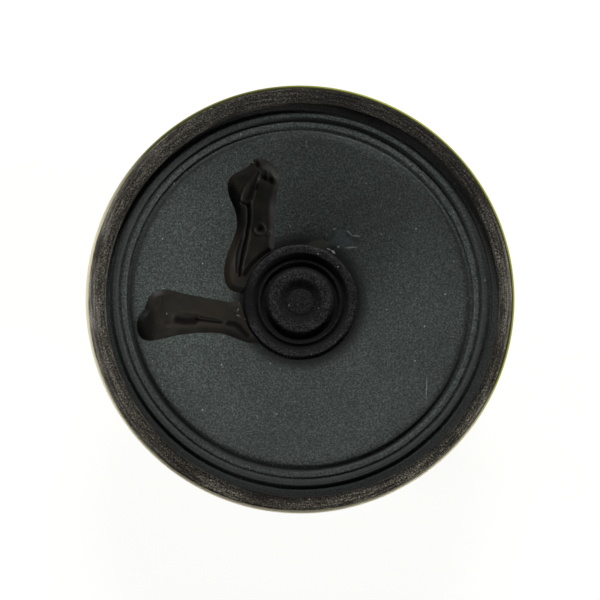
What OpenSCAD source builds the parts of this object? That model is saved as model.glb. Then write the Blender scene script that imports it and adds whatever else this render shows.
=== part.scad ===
// A 66 mm moving-coil loudspeaker driver, lying face up. Its back plate stands on z = 0,
// its axis is Z, and the cone faces +Z.

/* [Basket] */
// Outside radius of the rim
rim_r = 33; // [32.5:0.25:35]
// Thickness of the steel sheet
sheet_t = 0.5; // [0.4:0.05:0.6]
// Height of the turned-up lip above the flange
lip_h = 1.4; // [0.9:0.1:1.6]
// Radius of the hole in the seat, round the voice coil
seat_hole_r = 8; // [7.5:0.1:8]
// Radius of the flat seat that lies on the top plate
seat_r = 11.4; // [11.2:0.1:11.8]
// Height of the spider ledge above the seat
ledge_h = 2.9; // [2.5:0.1:3.5]
// Inner radius of the spider ledge
ledge_in_r = 12.3; // [12:0.1:12.9]
// Outer radius of the spider ledge
ledge_out_r = 15.6; // [15:0.1:16]
// Depth of the bowl, from the flange down to the spider ledge
bowl_depth = 9.6; // [9.2:0.1:11]
// Width of each of the four spokes
spoke_w = 8; // [7:0.5:9]
// Steel left between a window and the ledge or the flange
window_margin = 1.3; // [1:0.1:1.8]
// Corner radius of the windows
window_corner_r = 1.5; // [1:0.1:2]

/* [Motor] */
// Radius of the back plate
back_plate_r = 16; // [15:0.5:17.5]
// Thickness of the back plate
back_plate_t = 2.5; // [2:0.1:3.5]
// Outside radius of the ferrite ring
magnet_r = 18; // [17:0.5:21]
// Radius of the hole in the ferrite ring
magnet_hole_r = 9; // [8:0.25:10]
// Thickness of the ferrite ring
magnet_t = 6; // [5:0.5:9]
// Radius of the top plate
top_plate_r = 16; // [14:0.5:17.5]
// Thickness of the top plate, which is the length of the magnetic gap
top_plate_t = 2.5; // [2:0.1:3]
// Radius of the pole's spigot, pressed into the back plate
spigot_r = 4; // [3:0.25:5]
// Broken edge of the plates and the pole
plate_chamfer = 0.25; // [0.1:0.05:0.4]
// Broken edge of the ferrite ring
magnet_chamfer = 0.5; // [0.3:0.1:0.8]
// Number of rivets that hold the basket on the top plate
rivets = 4; // [3:1:4]
// Distance from the seat's edge in to the rivets' middles
rivet_in = 1.8; // [1.6:0.05:1.9]
// Radius of a rivet's shank
rivet_r = 0.9; // [0.7:0.05:1]
// Radius of a rivet's head
rivet_head_r = 1.35; // [1.2:0.05:1.4]
// Height of a rivet's head
rivet_head_h = 0.5; // [0.3:0.05:0.6]
// Depth of the countersink under the top plate
rivet_sink = 0.5; // [0.3:0.1:0.8]

/* [Voice coil] */
// Inside radius of the voice coil former
former_in_r = 6.3; // [6.1:0.05:6.4]
// Thickness of the paper former
former_t = 0.12; // [0.08:0.02:0.16]
// Thickness of the copper winding
winding_t = 0.26; // [0.2:0.02:0.3]
// Clearance between the pole and the former
gap_in = 0.2; // [0.15:0.01:0.3]
// Clearance between the winding and the top plate
gap_out = 0.27; // [0.2:0.01:0.35]
// Travel of the coil each way while the winding still fills the gap
travel = 1; // [0.6:0.1:1.2]

/* [Cone and edge] */
// Height of the cone's neck above the spider ledge
neck_h = 1.8; // [1.6:0.1:2.2]
// Thickness of the cone's paper
cone_t = 0.4; // [0.3:0.05:0.5]
// Width of the glue fillet behind the cone's neck
neck_fillet_w = 0.85; // [0.6:0.05:1.2]
// Height of that fillet on the former
neck_fillet_h = 0.55; // [0.4:0.05:0.7]
// How far the former stands up out of the cone's neck
former_up = 0.35; // [0.2:0.05:0.5]
// How far the cone bows out of a straight line
cone_bulge = 0.4; // [0:0.1:0.8]
// Height of the cone's edge above the flange
cone_edge_h = 0.2; // [0.1:0.05:0.3]
// Thickness of the pleated edge
edge_t = 0.35; // [0.3:0.05:0.4]
// Width of the landing left bare between the pleats and the gasket ring
landing_w = 1.36; // [1:0.02:1.8]
// Width of one pleat, from hollow to hollow
pleat_w = 1.32; // [1.2:0.02:1.4]
// Height of a pleat above the hollow beside the cone
pleat_h = 0.65; // [0.4:0.05:0.9]
// Number of pleats
pleats = 2; // [1:1:2]
// Width of the hollow between the cone and the first pleat
hollow_w = 0.3; // [0.2:0.05:0.4]
// Depth of that hollow below the cone's edge
hollow_d = 0.15; // [0.1:0.05:0.2]
// Width of the gasket ring
gasket_w = 2.1; // [1.8:0.1:2.4]
// Thickness of the gasket ring
gasket_t = 1.65; // [1.3:0.05:2]
// Gap between the gasket ring and the lip
gasket_gap = 0.1; // [0.05:0.05:0.2]
// Rounding of the gasket ring's upper edges
gasket_round = 0.45; // [0.2:0.05:0.6]

/* [Dust cap and spider] */
// Radius of the dust cap's glued rim
cap_r = 9.15; // [9:0.05:9.5]
// Width of the dust cap's glued rim
cap_rim_w = 1.4; // [1.2:0.1:1.5]
// Height of the glued rim above the cone
cap_rim_h = 0.42; // [0.3:0.02:0.6]
// Thickness of the dust cap
cap_t = 0.3; // [0.2:0.05:0.4]
// Radius of the dust cap's crown
crown_r = 4.2; // [4:0.1:4.4]
// Radius of the flat dimple in the dust cap
dimple_r = 2.1; // [1.6:0.1:2.4]
// Depth of the dimple below the crown
dimple_d = 0.6; // [0.3:0.05:0.8]
// Thickness of the spider's cloth
spider_t = 0.3; // [0.2:0.05:0.4]
// Number of ripples in the spider
ripples = 3; // [2:1:4]
// Height of a ripple to each side
ripple_h = 0.35; // [0.2:0.05:0.45]
// Width of the glued collars of the spider
spider_collar_w = 0.6; // [0.4:0.1:0.8]

/* [Terminals] */
// Direction of the spoke that carries the terminal board, from +X
board_az = 135; // [45:90:315]
// Distance from the flange's inner edge in to the board's middle
board_in = 6.7; // [6.4:0.1:7]
// Width of the board across the spoke
board_w = 15; // [14:0.5:16]
// Length of the board along the spoke
board_l = 6.6; // [6:0.2:7.4]
// Thickness of the board
board_t = 0.8; // [0.6:0.1:1]
// Height of the pad pressed out of the spoke under the board
pad_h = 0.6; // [0.5:0.1:0.8]
// Radius of that pad
pad_r = 2.8; // [2.4:0.1:3]
// Radius of the rivet that holds the board
board_rivet_r = 0.8; // [0.6:0.1:1]
// Distance between the two lugs
lug_pitch = 11.2; // [10.8:0.1:11.6]
// Width of a lug
lug_w = 2.6; // [2.4:0.1:3]
// Thickness of a lug
lug_t = 0.4; // [0.3:0.05:0.5]
// Distance from a lug's eyelet to its wire hole
lug_reach = 7.4; // [6.8:0.1:7.6]
// Radius of the wire hole in a lug
lug_hole_r = 0.6; // [0.5:0.05:0.8]
// Radius of the eyelet that holds a lug on the board
eyelet_r = 0.8; // [0.7:0.05:0.9]
// Wall of that eyelet
eyelet_wall = 0.2; // [0.15:0.05:0.25]

/* [Leads and glue] */
// Distance of the upper cone eyelet from the cone's edge
upper_eyelet_in = 6.4; // [5.8:0.1:7.5]
// Direction of the upper cone eyelet
upper_eyelet_az = 106.6; // [104:0.2:110]
// Distance of the left cone eyelet from the cone's edge
left_eyelet_in = 8.2; // [7:0.1:9]
// Direction of the left cone eyelet
left_eyelet_az = 189.4; // [186:0.2:192]
// Radius of an eyelet's shank through the cone
cone_eyelet_r = 0.55; // [0.45:0.05:0.65]
// Radius of a braided tinsel lead
tinsel_r = 0.35; // [0.25:0.05:0.4]
// Radius of an enamelled lead of the voice coil
coil_lead_r = 0.12; // [0.1:0.01:0.15]
// Thickness of the glue over the leads
glue_t = 0.4; // [0.3:0.05:0.6]

/* [Hidden] */
$fn = 96;

zinc = [0.78, 0.72, 0.50];
bright_steel = [0.62, 0.63, 0.64];
ferrite = [0.20, 0.20, 0.21];
cone_paper = [0.22, 0.24, 0.23];
edge_paper = [0.24, 0.26, 0.25];
cap_felt = [0.13, 0.12, 0.13];
gasket_board = [0.26, 0.25, 0.23];
glue = [0.12, 0.11, 0.09];
copper = [0.72, 0.40, 0.22];
brass = [0.75, 0.62, 0.33];
solder = [0.70, 0.71, 0.72];
cloth = [0.68, 0.58, 0.38];
phenolic = [0.45, 0.27, 0.15];

// Heights of the motor, from the back.
magnet_z = back_plate_t;
plate_z = magnet_z + magnet_t;
seat_z = plate_z + top_plate_t;
seat_top_z = seat_z + sheet_t;

// Heights of the basket.
ledge_z = seat_top_z + ledge_h;
flange_z = ledge_z + bowl_depth;
lip_z = flange_z + lip_h;
lip_in_r = rim_r - sheet_t;
rivet_circle_r = seat_r - rivet_in;

// Radii of the voice coil and its gap.
former_out_r = former_in_r + former_t;
winding_out_r = former_out_r + winding_t;
pole_r = former_in_r - gap_in;
bore_r = winding_out_r + gap_out;
winding_h = top_plate_t + 2 * travel;
winding_z = plate_z + top_plate_t / 2 - winding_h / 2;

// From the rim inwards: the gasket ring, the bare landing, the pleats and the cone's edge.
gasket_out_r = lip_in_r - gasket_gap;
gasket_in_r = gasket_out_r - gasket_w;
landing_r = gasket_in_r - landing_w;
first_hollow_r = landing_r - pleats * pleat_w;
cone_edge_r = first_hollow_r - hollow_w;

// The cone's front as a line of radius and height, from its neck to its edge.
neck_z = ledge_z + neck_h;
cone_edge_z = flange_z + cone_edge_h;
cone_steps = 10;
cone_line = [for (i = [0:cone_steps])
  let (s = i / cone_steps)
  [former_out_r + (cone_edge_r - former_out_r) * s,
   neck_z + (cone_edge_z - neck_z) * s + 4 * cone_bulge * s * (1 - s)]];
cone_v = cone_t / cos(atan2(cone_edge_z - neck_z, cone_edge_r - former_out_r));
former_top_z = neck_z + former_up;

// The pleated edge, from the cone to the flat that is glued on the flange.
first_hollow_z = cone_edge_z - hollow_d;
landing_top_z = flange_z + edge_t;
pleat_knots = concat(
  [[cone_edge_r, cone_edge_z], [first_hollow_r, first_hollow_z]],
  [for (i = [1:2 * pleats])
    [first_hollow_r + i * pleat_w / 2,
     i == 2 * pleats ? landing_top_z : first_hollow_z + (i % 2 == 1 ? pleat_h : hollow_d)]]);
pleat_steps = 5;

// The sloping wall of the basket, which meets the flange just inside the landing.
flange_lap = 0.05;
flange_in_r = landing_r - flange_lap;
wall_angle = atan2(bowl_depth, flange_in_r - ledge_out_r);
cup_angle = atan2(ledge_h, ledge_in_r - seat_r);
wall_mitre = sheet_t * tan(wall_angle / 2);
cup_mitre = sheet_t * tan(cup_angle / 2);
rim_round = 0.3;
lip_edge = 0.1;

gasket_top_z = landing_top_z + gasket_t;

// The dust cap's top, from its outer edge to the dimple: the glued rim, the moat beside the
// former, the crest over the former's end, the inner moat, the crown and the dimple.
cap_gap = 0.15;
crown_low = 0.03;
moat_w = 0.5;
moat_d = 0.2;
inner_moat_w = 0.75;
cap_z = lookup(cap_r, cone_line);
cap_rim_in_r = cap_r - cap_rim_w;
cap_crest_z = former_top_z + cap_gap + cap_t;
crown_z = cap_z - crown_low;
cap_knots = [
  [cap_r, cap_z + cap_rim_h * 0.6], [cap_r - cap_rim_w / 2, cap_z + cap_rim_h],
  [cap_rim_in_r, cap_z + cap_rim_h * 0.85], [former_out_r + moat_w, cap_crest_z - moat_d],
  [former_out_r, cap_crest_z], [former_out_r - inner_moat_w, cap_crest_z - moat_d],
  [crown_r, crown_z], [dimple_r, crown_z - dimple_d]];
cap_steps = 4;

// The board's own frame: x runs down the spoke, y across it, z out of its back.
board_r = flange_in_r - board_in;
board_z = ledge_z - sheet_t + (board_r - ledge_out_r - wall_mitre) * tan(wall_angle);
lug_z = pad_h + board_t;
board_corner = 0.8;
eyelet_in = 1.6;
eyelet_x = board_l / 2 - eyelet_in;
eyelet_rim = 0.4;
eyelet_flat = 0.15;
solder_out = 0.1;
plug_end = pad_h - eyelet_flat - solder_out;
solder_dome_h = 0.55;
board_rivet_brim = 0.6;
board_rivet_head_h = 0.4;

// The slack of the tinsel leads: how far each heads straight out of the cone and of the board.
upper_slack = [3.2, 3.6];
left_slack = [3.6, 4.4];

// Hand-chosen outlines of the two glue tracks. Each point is a share of the way from the
// dust cap's rim to the eyelet, and a direction. The cap's rim ends a track at share 0.
upper_eyelet_r = cone_edge_r - upper_eyelet_in;
left_eyelet_r = cone_edge_r - left_eyelet_in;
upper_outline = [
  [-0.01, 115.4], [0.33, 108], [0.54, 104.9], [0.79, 100.9], [1.03, 98.9], [1.18, 100.2],
  [1.27, 103.4], [1.31, 107.3], [1.24, 110.6], [1.22, 115.4], [1.22, 119.6], [1.13, 122.7],
  [0.95, 124.8], [0.74, 126.3], [0.59, 128.7], [0.51, 132.8], [0.39, 142.7], [0.32, 153.8],
  [0.27, 163.5], [0.21, 167.8], [0.11, 171.6], [-0.05, 173.4], [-0.16, 156.2], [-0.13, 129.2]
];
left_outline = [
  [-0.09, 182], [0.2, 179.5], [0.45, 179.1], [0.7, 177.7], [0.96, 176.4], [1.18, 175.3],
  [1.42, 175.7], [1.56, 177.7], [1.65, 181.2], [1.74, 184.7], [1.85, 186.6], [1.91, 189.2],
  [1.9, 192], [1.86, 194.5], [1.77, 195.2], [1.55, 195.7], [1.26, 195.6], [0.99, 196.4],
  [0.71, 198.7], [0.47, 202.3], [0.25, 209.7], [-0.04, 214.8], [-0.11, 205.9], [-0.08, 193.7]
];

// Stations of the coil's leads on the cone, as the same share and a direction. Each starts
// in the hollow under the dust cap.
upper_start_az = 166;
left_start_az = 200;
upper_stations = [
  [0.08, 157], [0.24, 139], [0.51, 122.5], [0.7, 119], [0.9, 113], [1, upper_eyelet_az]
];
left_stations = [[0.1, 196], [0.33, 193], [0.68, 190.5], [1, left_eyelet_az]];

function share_r(share, eyelet_r) = cap_r + share * (eyelet_r - cap_r);
function cone_front(r) = lookup(r, cone_line);
function cone_slope(r) = atan((cone_front(r + 0.05) - cone_front(r - 0.05)) / 0.1);
function unit(v) = v / norm(v);
function turned(p, az) = [
  p[0] * cos(az) - p[1] * sin(az), p[0] * sin(az) + p[1] * cos(az), p[2]];
function arc(c, r, a0, a1, n) = [for (i = [0:n])
  let (a = a0 + (a1 - a0) * i / n) c + r * [cos(a), sin(a)]];
function lowered(line, d) = [for (i = [len(line) - 1:-1:0]) line[i] - [0, d]];

// A line through knots whose slope is level at each of them.
function smooth(knots, steps) = concat(
  [for (k = [0:len(knots) - 2], i = [0:steps - 1])
    let (s = i / steps, w = (1 - cos(180 * s)) / 2)
    [knots[k][0] + (knots[k + 1][0] - knots[k][0]) * s,
     knots[k][1] + (knots[k + 1][1] - knots[k][1]) * w]],
  [knots[len(knots) - 1]]);

// The stretch of the cone's front between two radii.
function cone_stretch(r0, r1) = concat(
  [[r0, cone_front(r0)]],
  [for (p = cone_line) if (p[0] > r0 + 0.01 && p[0] < r1 - 0.01) p],
  [[r1, cone_front(r1)]]);

// A point of the board's frame, in the driver's frame.
function at_board(p) = turned(
  [board_r - cos(wall_angle) * p[0] + sin(wall_angle) * p[2], p[1],
   board_z - sin(wall_angle) * p[0] - cos(wall_angle) * p[2]], board_az);

// A point this far behind the cone's front, on the axis of an eyelet in the cone.
function behind_cone(r, az, d) = turned(
  [r + sin(cone_slope(r)) * d, 0, cone_front(r) - cos(cone_slope(r)) * d], az);

function bezier(p, t) =
  pow(1 - t, 3) * p[0] + 3 * t * pow(1 - t, 2) * p[1]
  + 3 * t * t * (1 - t) * p[2] + t * t * t * p[3];

module revolve(line) {
  rotate_extrude() polygon(line);
}

// A flat ring with broken edges outside.
module plate_ring(hole_r, r, z, t, chamfer) {
  revolve([
    [hole_r, z], [r - chamfer, z], [r, z + chamfer],
    [r, z + t - chamfer], [r - chamfer, z + t], [hole_r, z + t]]);
}

// A round tube along a path, with its two ends square to the given directions.
module tube(path, r, sides, first, last) {
  n = len(path);
  side = unit([0.35, 0.2, 0.9]);
  rings = [for (i = [0:n - 1])
    let (
      t = i == 0 ? unit(first) : i == n - 1 ? unit(last) : unit(path[i + 1] - path[i - 1]),
      u = unit(cross(t, side)),
      v = cross(t, u))
    for (k = [0:sides - 1])
      let (a = 360 * k / sides) path[i] + r * (cos(a) * u + sin(a) * v)];
  walls = [for (i = [0:n - 2], k = [0:sides - 1])
    let (a = i * sides + k, b = i * sides + (k + 1) % sides)
    each [[a, a + sides, b], [b, a + sides, b + sides]]];
  ends = concat(
    [for (k = [1:sides - 2]) [0, k, k + 1]],
    [for (k = [1:sides - 2]) (n - 1) * sides * [1, 1, 1] + [0, k + 1, k]]);
  polyhedron(rings, concat(walls, ends));
}

module on_board() {
  rotate([0, 0, board_az]) translate([board_r, 0, board_z])
    rotate([0, 180 - wall_angle, 0]) children();
}

module on_cone(r, az) {
  rotate([0, 0, az]) translate([r, 0, cone_front(r)])
    rotate([0, -cone_slope(r), 0]) children();
}

module at_cone_eyelets() {
  on_cone(upper_eyelet_r, upper_eyelet_az) children();
  on_cone(left_eyelet_r, left_eyelet_az) children();
}

module at_rivets() {
  for (i = [0:rivets - 1]) rotate([0, 0, i * 360 / rivets])
    translate([rivet_circle_r, 0, 0]) children();
}

// Steel back plate with the hole that the pole's spigot fills.
module back_plate() {
  color(bright_steel) plate_ring(spigot_r, back_plate_r, 0, back_plate_t, plate_chamfer);
}

module magnet_ring() {
  color(ferrite) plate_ring(magnet_hole_r, magnet_r, magnet_z, magnet_t, magnet_chamfer);
}

// Steel top plate, whose bore is the outside of the magnetic gap.
module top_plate() {
  color(bright_steel) difference() {
    plate_ring(bore_r, top_plate_r, plate_z, top_plate_t, plate_chamfer);
    at_rivets() rivet_shank();
  }
}

module pole_piece() {
  color(bright_steel) revolve([
    [0, 0], [spigot_r, 0], [spigot_r, back_plate_t], [pole_r, back_plate_t],
    [pole_r, seat_z - plate_chamfer], [pole_r - plate_chamfer, seat_z], [0, seat_z]]);
}

// Shank with its countersunk foot, up to the top of the basket's seat.
module rivet_shank() {
  revolve([
    [0, plate_z], [rivet_r + rivet_sink, plate_z], [rivet_r, plate_z + rivet_sink],
    [rivet_r, seat_top_z], [0, seat_top_z]]);
}

module plate_rivets() {
  bevel = rivet_head_h / 2;
  color(zinc) at_rivets() {
    rivet_shank();
    translate([0, 0, seat_top_z]) revolve([
      [0, -sheet_t], [rivet_r, -sheet_t], [rivet_r, 0], [rivet_head_r, 0],
      [rivet_head_r, bevel], [rivet_head_r - bevel, rivet_head_h], [0, rivet_head_h]]);
  }
}

// One window of the basket, centred on +X, with rounded corners.
module window_outline() {
  c = window_corner_r;
  in_r = ledge_out_r + window_margin;
  out_r = flange_in_r - window_margin;
  out_a = 45 - asin((spoke_w / 2 + c) / (out_r - c));
  in_a = 45 - asin((spoke_w / 2 + c) / (in_r + c));
  polygon(concat(
    arc([0, 0], out_r, -out_a, out_a, 10),
    arc((out_r - c) * [cos(out_a), sin(out_a)], c, out_a, 135, 4),
    arc((in_r + c) * [cos(in_a), sin(in_a)], c, 135, 180 + in_a, 4),
    arc([0, 0], in_r, in_a, -in_a, 6),
    arc((in_r + c) * [cos(in_a), -sin(in_a)], c, 180 - in_a, 225, 4),
    arc((out_r - c) * [cos(out_a), -sin(out_a)], c, 225, 360 - out_a, 4)));
}

// Pressed steel basket: seat, spider ledge, sloping wall with four windows, flange and lip.
module basket() {
  r1 = rim_r - rim_round;
  shell = [
    [seat_hole_r, seat_z], [seat_r + cup_mitre, seat_z],
    [ledge_in_r + cup_mitre, ledge_z - sheet_t], [ledge_out_r + wall_mitre, ledge_z - sheet_t],
    [flange_in_r + wall_mitre, flange_z - sheet_t], [r1, flange_z - sheet_t],
    [rim_r - rim_round * 0.3, flange_z - sheet_t + rim_round * 0.3],
    [rim_r, flange_z - sheet_t + rim_round], [rim_r, lip_z - lip_edge],
    [rim_r - lip_edge, lip_z], [lip_in_r + lip_edge, lip_z], [lip_in_r, lip_z - lip_edge],
    [lip_in_r, flange_z],
    [flange_in_r, flange_z], [ledge_out_r, ledge_z], [ledge_in_r, ledge_z],
    [seat_r, seat_top_z], [seat_hole_r, seat_top_z]];
  color(zinc) difference() {
    union() {
      revolve(shell);
      on_board() translate([0, 0, -sheet_t / 2]) cylinder(r = pad_r, h = pad_h + sheet_t / 2);
    }
    for (i = [0:3]) rotate([0, 0, 90 * i]) translate([0, 0, ledge_z - 1])
      linear_extrude(bowl_depth + 2) window_outline();
    at_rivets() rivet_shank();
    on_board() translate([0, 0, -2 * sheet_t]) cylinder(r = board_rivet_r, h = pad_h + 3 * sheet_t);
  }
}

// Pressed board ring, flat on top, glued on the edge's landing inside the lip.
module gasket_ring() {
  c = gasket_round;
  color(gasket_board) revolve(concat(
    [[gasket_in_r, landing_top_z], [gasket_out_r, landing_top_z]],
    arc([gasket_out_r - c, gasket_top_z - c], c, 0, 90, 4),
    arc([gasket_in_r + c, gasket_top_z - c], c, 90, 180, 4)));
}

// Pleated paper edge of the cone, with its flat landing on the flange.
module surround() {
  line = concat(smooth(pleat_knots, pleat_steps), [[gasket_out_r, landing_top_z]]);
  color(edge_paper) revolve(concat(line, lowered(line, edge_t)));
}

module cone() {
  color(cone_paper) difference() {
    revolve(concat(cone_line, lowered(cone_line, cone_v)));
    at_cone_eyelets() translate([0, 0, -3 * cone_t]) cylinder(r = cone_eyelet_r, h = 5 * cone_t);
  }
}

// Felted paper cap: a glued rim, a moat with the crest over the former, a crown and a dimple.
module dust_cap() {
  hollow_r = cap_rim_in_r - cap_t;
  top = concat(smooth(cap_knots, cap_steps), [[0, crown_z - dimple_d]]);
  hollow = [for (p = top) if (p[0] < hollow_r) p];
  color(cap_felt) revolve(concat(cone_stretch(hollow_r, cap_r), top, lowered(hollow, cap_t)));
}

module voice_coil_former() {
  color(cloth) revolve([
    [former_in_r, winding_z], [former_out_r, winding_z],
    [former_out_r, former_top_z], [former_in_r, former_top_z]]);
}

module voice_coil_winding() {
  top = winding_z + winding_h;
  color(copper) revolve([
    [former_out_r, winding_z], [winding_out_r, winding_z],
    [winding_out_r, top], [former_out_r, top]]);
}

// Fillet of glue between the former and the back of the cone.
module neck_glue() {
  foot_r = former_out_r + neck_fillet_w;
  color(glue) revolve([
    [former_out_r, neck_z - cone_v - neck_fillet_h],
    [foot_r, cone_front(foot_r) - cone_v],
    [former_out_r, neck_z - cone_v]]);
}

// Rippled cloth disc that keeps the coil centred, glued on the former and the ledge.
module spider() {
  in_r = former_out_r + spider_collar_w;
  out_r = ledge_in_r + spider_t / 2;
  steps = 10 * ripples;
  waves = [for (i = [0:steps])
    [in_r + (out_r - in_r) * i / steps,
     ledge_z + spider_t - ripple_h * sin(360 * ripples * i / steps)]];
  line = concat(
    [[former_out_r, ledge_z + spider_t]], waves, [[ledge_out_r - spider_t, ledge_z + spider_t]]);
  color(cloth) revolve(concat(line, lowered(line, spider_t)));
}

// A glue track: its outline, cut out of a layer that follows the cone's front.
module glue_track(outline, eyelet_r) {
  line = cone_stretch(cap_r, cone_edge_r - hollow_w);
  color(glue) intersection() {
    translate([0, 0, ledge_z]) linear_extrude(bowl_depth + lip_h) polygon([
      for (p = outline) share_r(p[0], eyelet_r) * [cos(p[1]), sin(p[1])]]);
    revolve(concat(line, lowered(line, -glue_t)));
  }
}

module glue_track_upper() {
  glue_track(upper_outline, upper_eyelet_r);
}

module glue_track_left() {
  glue_track(left_outline, left_eyelet_r);
}

// Enamelled wire that lies on the cone's front, from under the dust cap to an eyelet.
module coil_lead(stations, start_az, eyelet_r) {
  run = concat([[cap_rim_in_r, start_az]],
    [for (s = stations) [share_r(s[0], eyelet_r), s[1]]]);
  n = len(run);
  path = [for (p = run) turned([p[0], 0, cone_front(p[0]) + coil_lead_r * 0.8], p[1])];
  color(copper) tube(path, coil_lead_r, 6, path[1] - path[0], path[n - 1] - path[n - 2]);
}

module coil_lead_upper() {
  coil_lead(upper_stations, upper_start_az, upper_eyelet_r);
}

module coil_lead_left() {
  coil_lead(left_stations, left_start_az, left_eyelet_r);
}

// Two brass eyelets through the cone, filled with solder.
module cone_eyelets() {
  wall = cone_v * cos(cone_slope(upper_eyelet_r));
  rim = cone_eyelet_r + eyelet_rim;
  color(brass) at_cone_eyelets() {
    translate([0, 0, -wall - eyelet_flat]) cylinder(r = cone_eyelet_r, h = wall + 2 * eyelet_flat);
    cylinder(r = rim, h = eyelet_flat);
    translate([0, 0, -wall - eyelet_flat]) cylinder(r = rim, h = eyelet_flat);
  }
}

// Braided lead from an eyelet in the cone, in a slack bow, to the lug's eyelet.
module tinsel_lead(r, az, y, slack) {
  wall = cone_v * cos(cone_slope(r));
  from = behind_cone(r, az, wall + eyelet_flat);
  from_dir = behind_cone(r, az, wall + 1) - behind_cone(r, az, wall);
  to = at_board([eyelet_x, y, plug_end]);
  to_dir = at_board([eyelet_x, y, 1]) - at_board([eyelet_x, y, 0]);
  steps = 14;
  knots = [from, from + slack[0] * unit(from_dir), to - slack[1] * unit(to_dir), to];
  color(copper) tube([for (i = [0:steps]) bezier(knots, i / steps)], tinsel_r, 8, from_dir, to_dir);
}

module tinsel_lead_upper() {
  tinsel_lead(upper_eyelet_r, upper_eyelet_az, -lug_pitch / 2, upper_slack);
}

module tinsel_lead_left() {
  tinsel_lead(left_eyelet_r, left_eyelet_az, lug_pitch / 2, left_slack);
}

module terminal_board() {
  c = board_corner;
  w = board_w / 2;
  l = board_l / 2;
  color(phenolic) on_board() difference() {
    translate([0, 0, pad_h]) linear_extrude(board_t) polygon([
      [-l, c - w], [c - l, -w], [l - c, -w], [l, c - w],
      [l, w - c], [l - c, w], [c - l, w], [-l, w - c]]);
    cylinder(r = board_rivet_r, h = 3);
    for (y = [-1, 1]) translate([eyelet_x, y * lug_pitch / 2, 0]) cylinder(r = eyelet_r, h = 3);
  }
}

// Tinned brass lug with a round end and a wire hole past the board's edge.
module terminal_lug(y) {
  color(solder) on_board() translate([eyelet_x, y, lug_z]) difference() {
    union() {
      cylinder(r = lug_w / 2, h = lug_t);
      translate([-lug_reach, -lug_w / 2, 0]) cube([lug_reach, lug_w, lug_t]);
      translate([-lug_reach, 0, 0]) cylinder(r = lug_w / 2, h = lug_t);
    }
    translate([0, 0, -1]) cylinder(r = eyelet_r, h = 3);
    translate([-lug_reach, 0, -1]) cylinder(r = lug_hole_r, h = 3);
  }
}

module terminal_lug_upper() {
  terminal_lug(-lug_pitch / 2);
}

module terminal_lug_left() {
  terminal_lug(lug_pitch / 2);
}

// Tubular eyelets that clinch the lugs on the board.
module lug_eyelets() {
  low = pad_h - eyelet_flat;
  high = lug_z + lug_t + eyelet_flat;
  in_r = eyelet_r - eyelet_wall;
  rim = eyelet_r + eyelet_rim;
  color(brass) on_board() for (y = [-1, 1]) translate([eyelet_x, y * lug_pitch / 2, 0]) revolve([
    [in_r, low], [rim, low], [rim, pad_h], [eyelet_r, pad_h], [eyelet_r, lug_z + lug_t],
    [rim, lug_z + lug_t], [rim, high], [in_r, high]]);
}

module board_rivet() {
  head = board_rivet_head_h;
  bevel = head / 2;
  rim = board_rivet_r + board_rivet_brim;
  color(zinc) on_board() revolve([
    [0, -sheet_t - head], [rim - bevel, -sheet_t - head], [rim, bevel - sheet_t - head],
    [rim, -sheet_t], [board_rivet_r, -sheet_t], [board_rivet_r, lug_z], [rim, lug_z],
    [rim, lug_z + head - bevel], [rim - bevel, lug_z + head], [0, lug_z + head]]);
}

// Solder that fills a lug's eyelet and stands domed on its back.
module lug_solder(y) {
  in_r = eyelet_r - eyelet_wall;
  high = lug_z + lug_t + eyelet_flat;
  dome_r = eyelet_r + eyelet_rim * 0.7;
  dome = [for (i = [0:6]) [dome_r * cos(15 * i), high + solder_dome_h * sin(15 * i)]];
  color(solder) on_board() translate([eyelet_x, y, 0]) revolve(concat(
    [[0, plug_end], [in_r, plug_end], [in_r, high]], dome));
}

module lug_solder_upper() {
  lug_solder(-lug_pitch / 2);
}

module lug_solder_left() {
  lug_solder(lug_pitch / 2);
}

back_plate();
magnet_ring();
top_plate();
pole_piece();
basket();
plate_rivets();
gasket_ring();
surround();
cone();
dust_cap();
voice_coil_former();
voice_coil_winding();
neck_glue();
spider();
glue_track_upper();
glue_track_left();
coil_lead_upper();
coil_lead_left();
cone_eyelets();
tinsel_lead_upper();
tinsel_lead_left();
terminal_board();
terminal_lug_upper();
terminal_lug_left();
lug_eyelets();
board_rivet();
lug_solder_upper();
lug_solder_left();
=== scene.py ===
import math

import bpy
import numpy as np
from mathutils import Matrix, Vector, noise


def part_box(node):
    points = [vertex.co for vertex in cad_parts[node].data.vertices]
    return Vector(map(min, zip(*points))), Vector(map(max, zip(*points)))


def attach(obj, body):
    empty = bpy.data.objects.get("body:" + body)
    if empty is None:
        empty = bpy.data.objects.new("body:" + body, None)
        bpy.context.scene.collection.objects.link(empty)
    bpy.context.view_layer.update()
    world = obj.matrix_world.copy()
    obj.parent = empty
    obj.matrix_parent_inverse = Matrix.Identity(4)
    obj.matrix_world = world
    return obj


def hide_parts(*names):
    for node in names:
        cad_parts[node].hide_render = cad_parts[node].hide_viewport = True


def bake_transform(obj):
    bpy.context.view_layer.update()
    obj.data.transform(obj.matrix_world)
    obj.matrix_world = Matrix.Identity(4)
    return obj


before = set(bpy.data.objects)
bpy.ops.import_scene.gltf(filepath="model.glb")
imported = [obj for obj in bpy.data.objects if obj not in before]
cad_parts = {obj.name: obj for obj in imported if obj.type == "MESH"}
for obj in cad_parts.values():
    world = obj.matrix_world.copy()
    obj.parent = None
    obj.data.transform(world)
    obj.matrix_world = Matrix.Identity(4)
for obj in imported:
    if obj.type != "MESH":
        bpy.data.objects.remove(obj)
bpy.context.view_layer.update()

mm = 0.001

# Camera: it looks down into the cone, tilted a little off the driver's axis toward the picture's
# lower edge, and far enough away that 92.3 mm of the rim's plane fill the picture.
def way_to(side, rise):
    """The way to a place round and above the driver, from its angles in degrees."""
    side, rise = math.radians(side), math.radians(rise)
    return Vector((
        math.cos(rise) * math.cos(side), math.cos(rise) * math.sin(side), math.sin(rise)))


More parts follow.
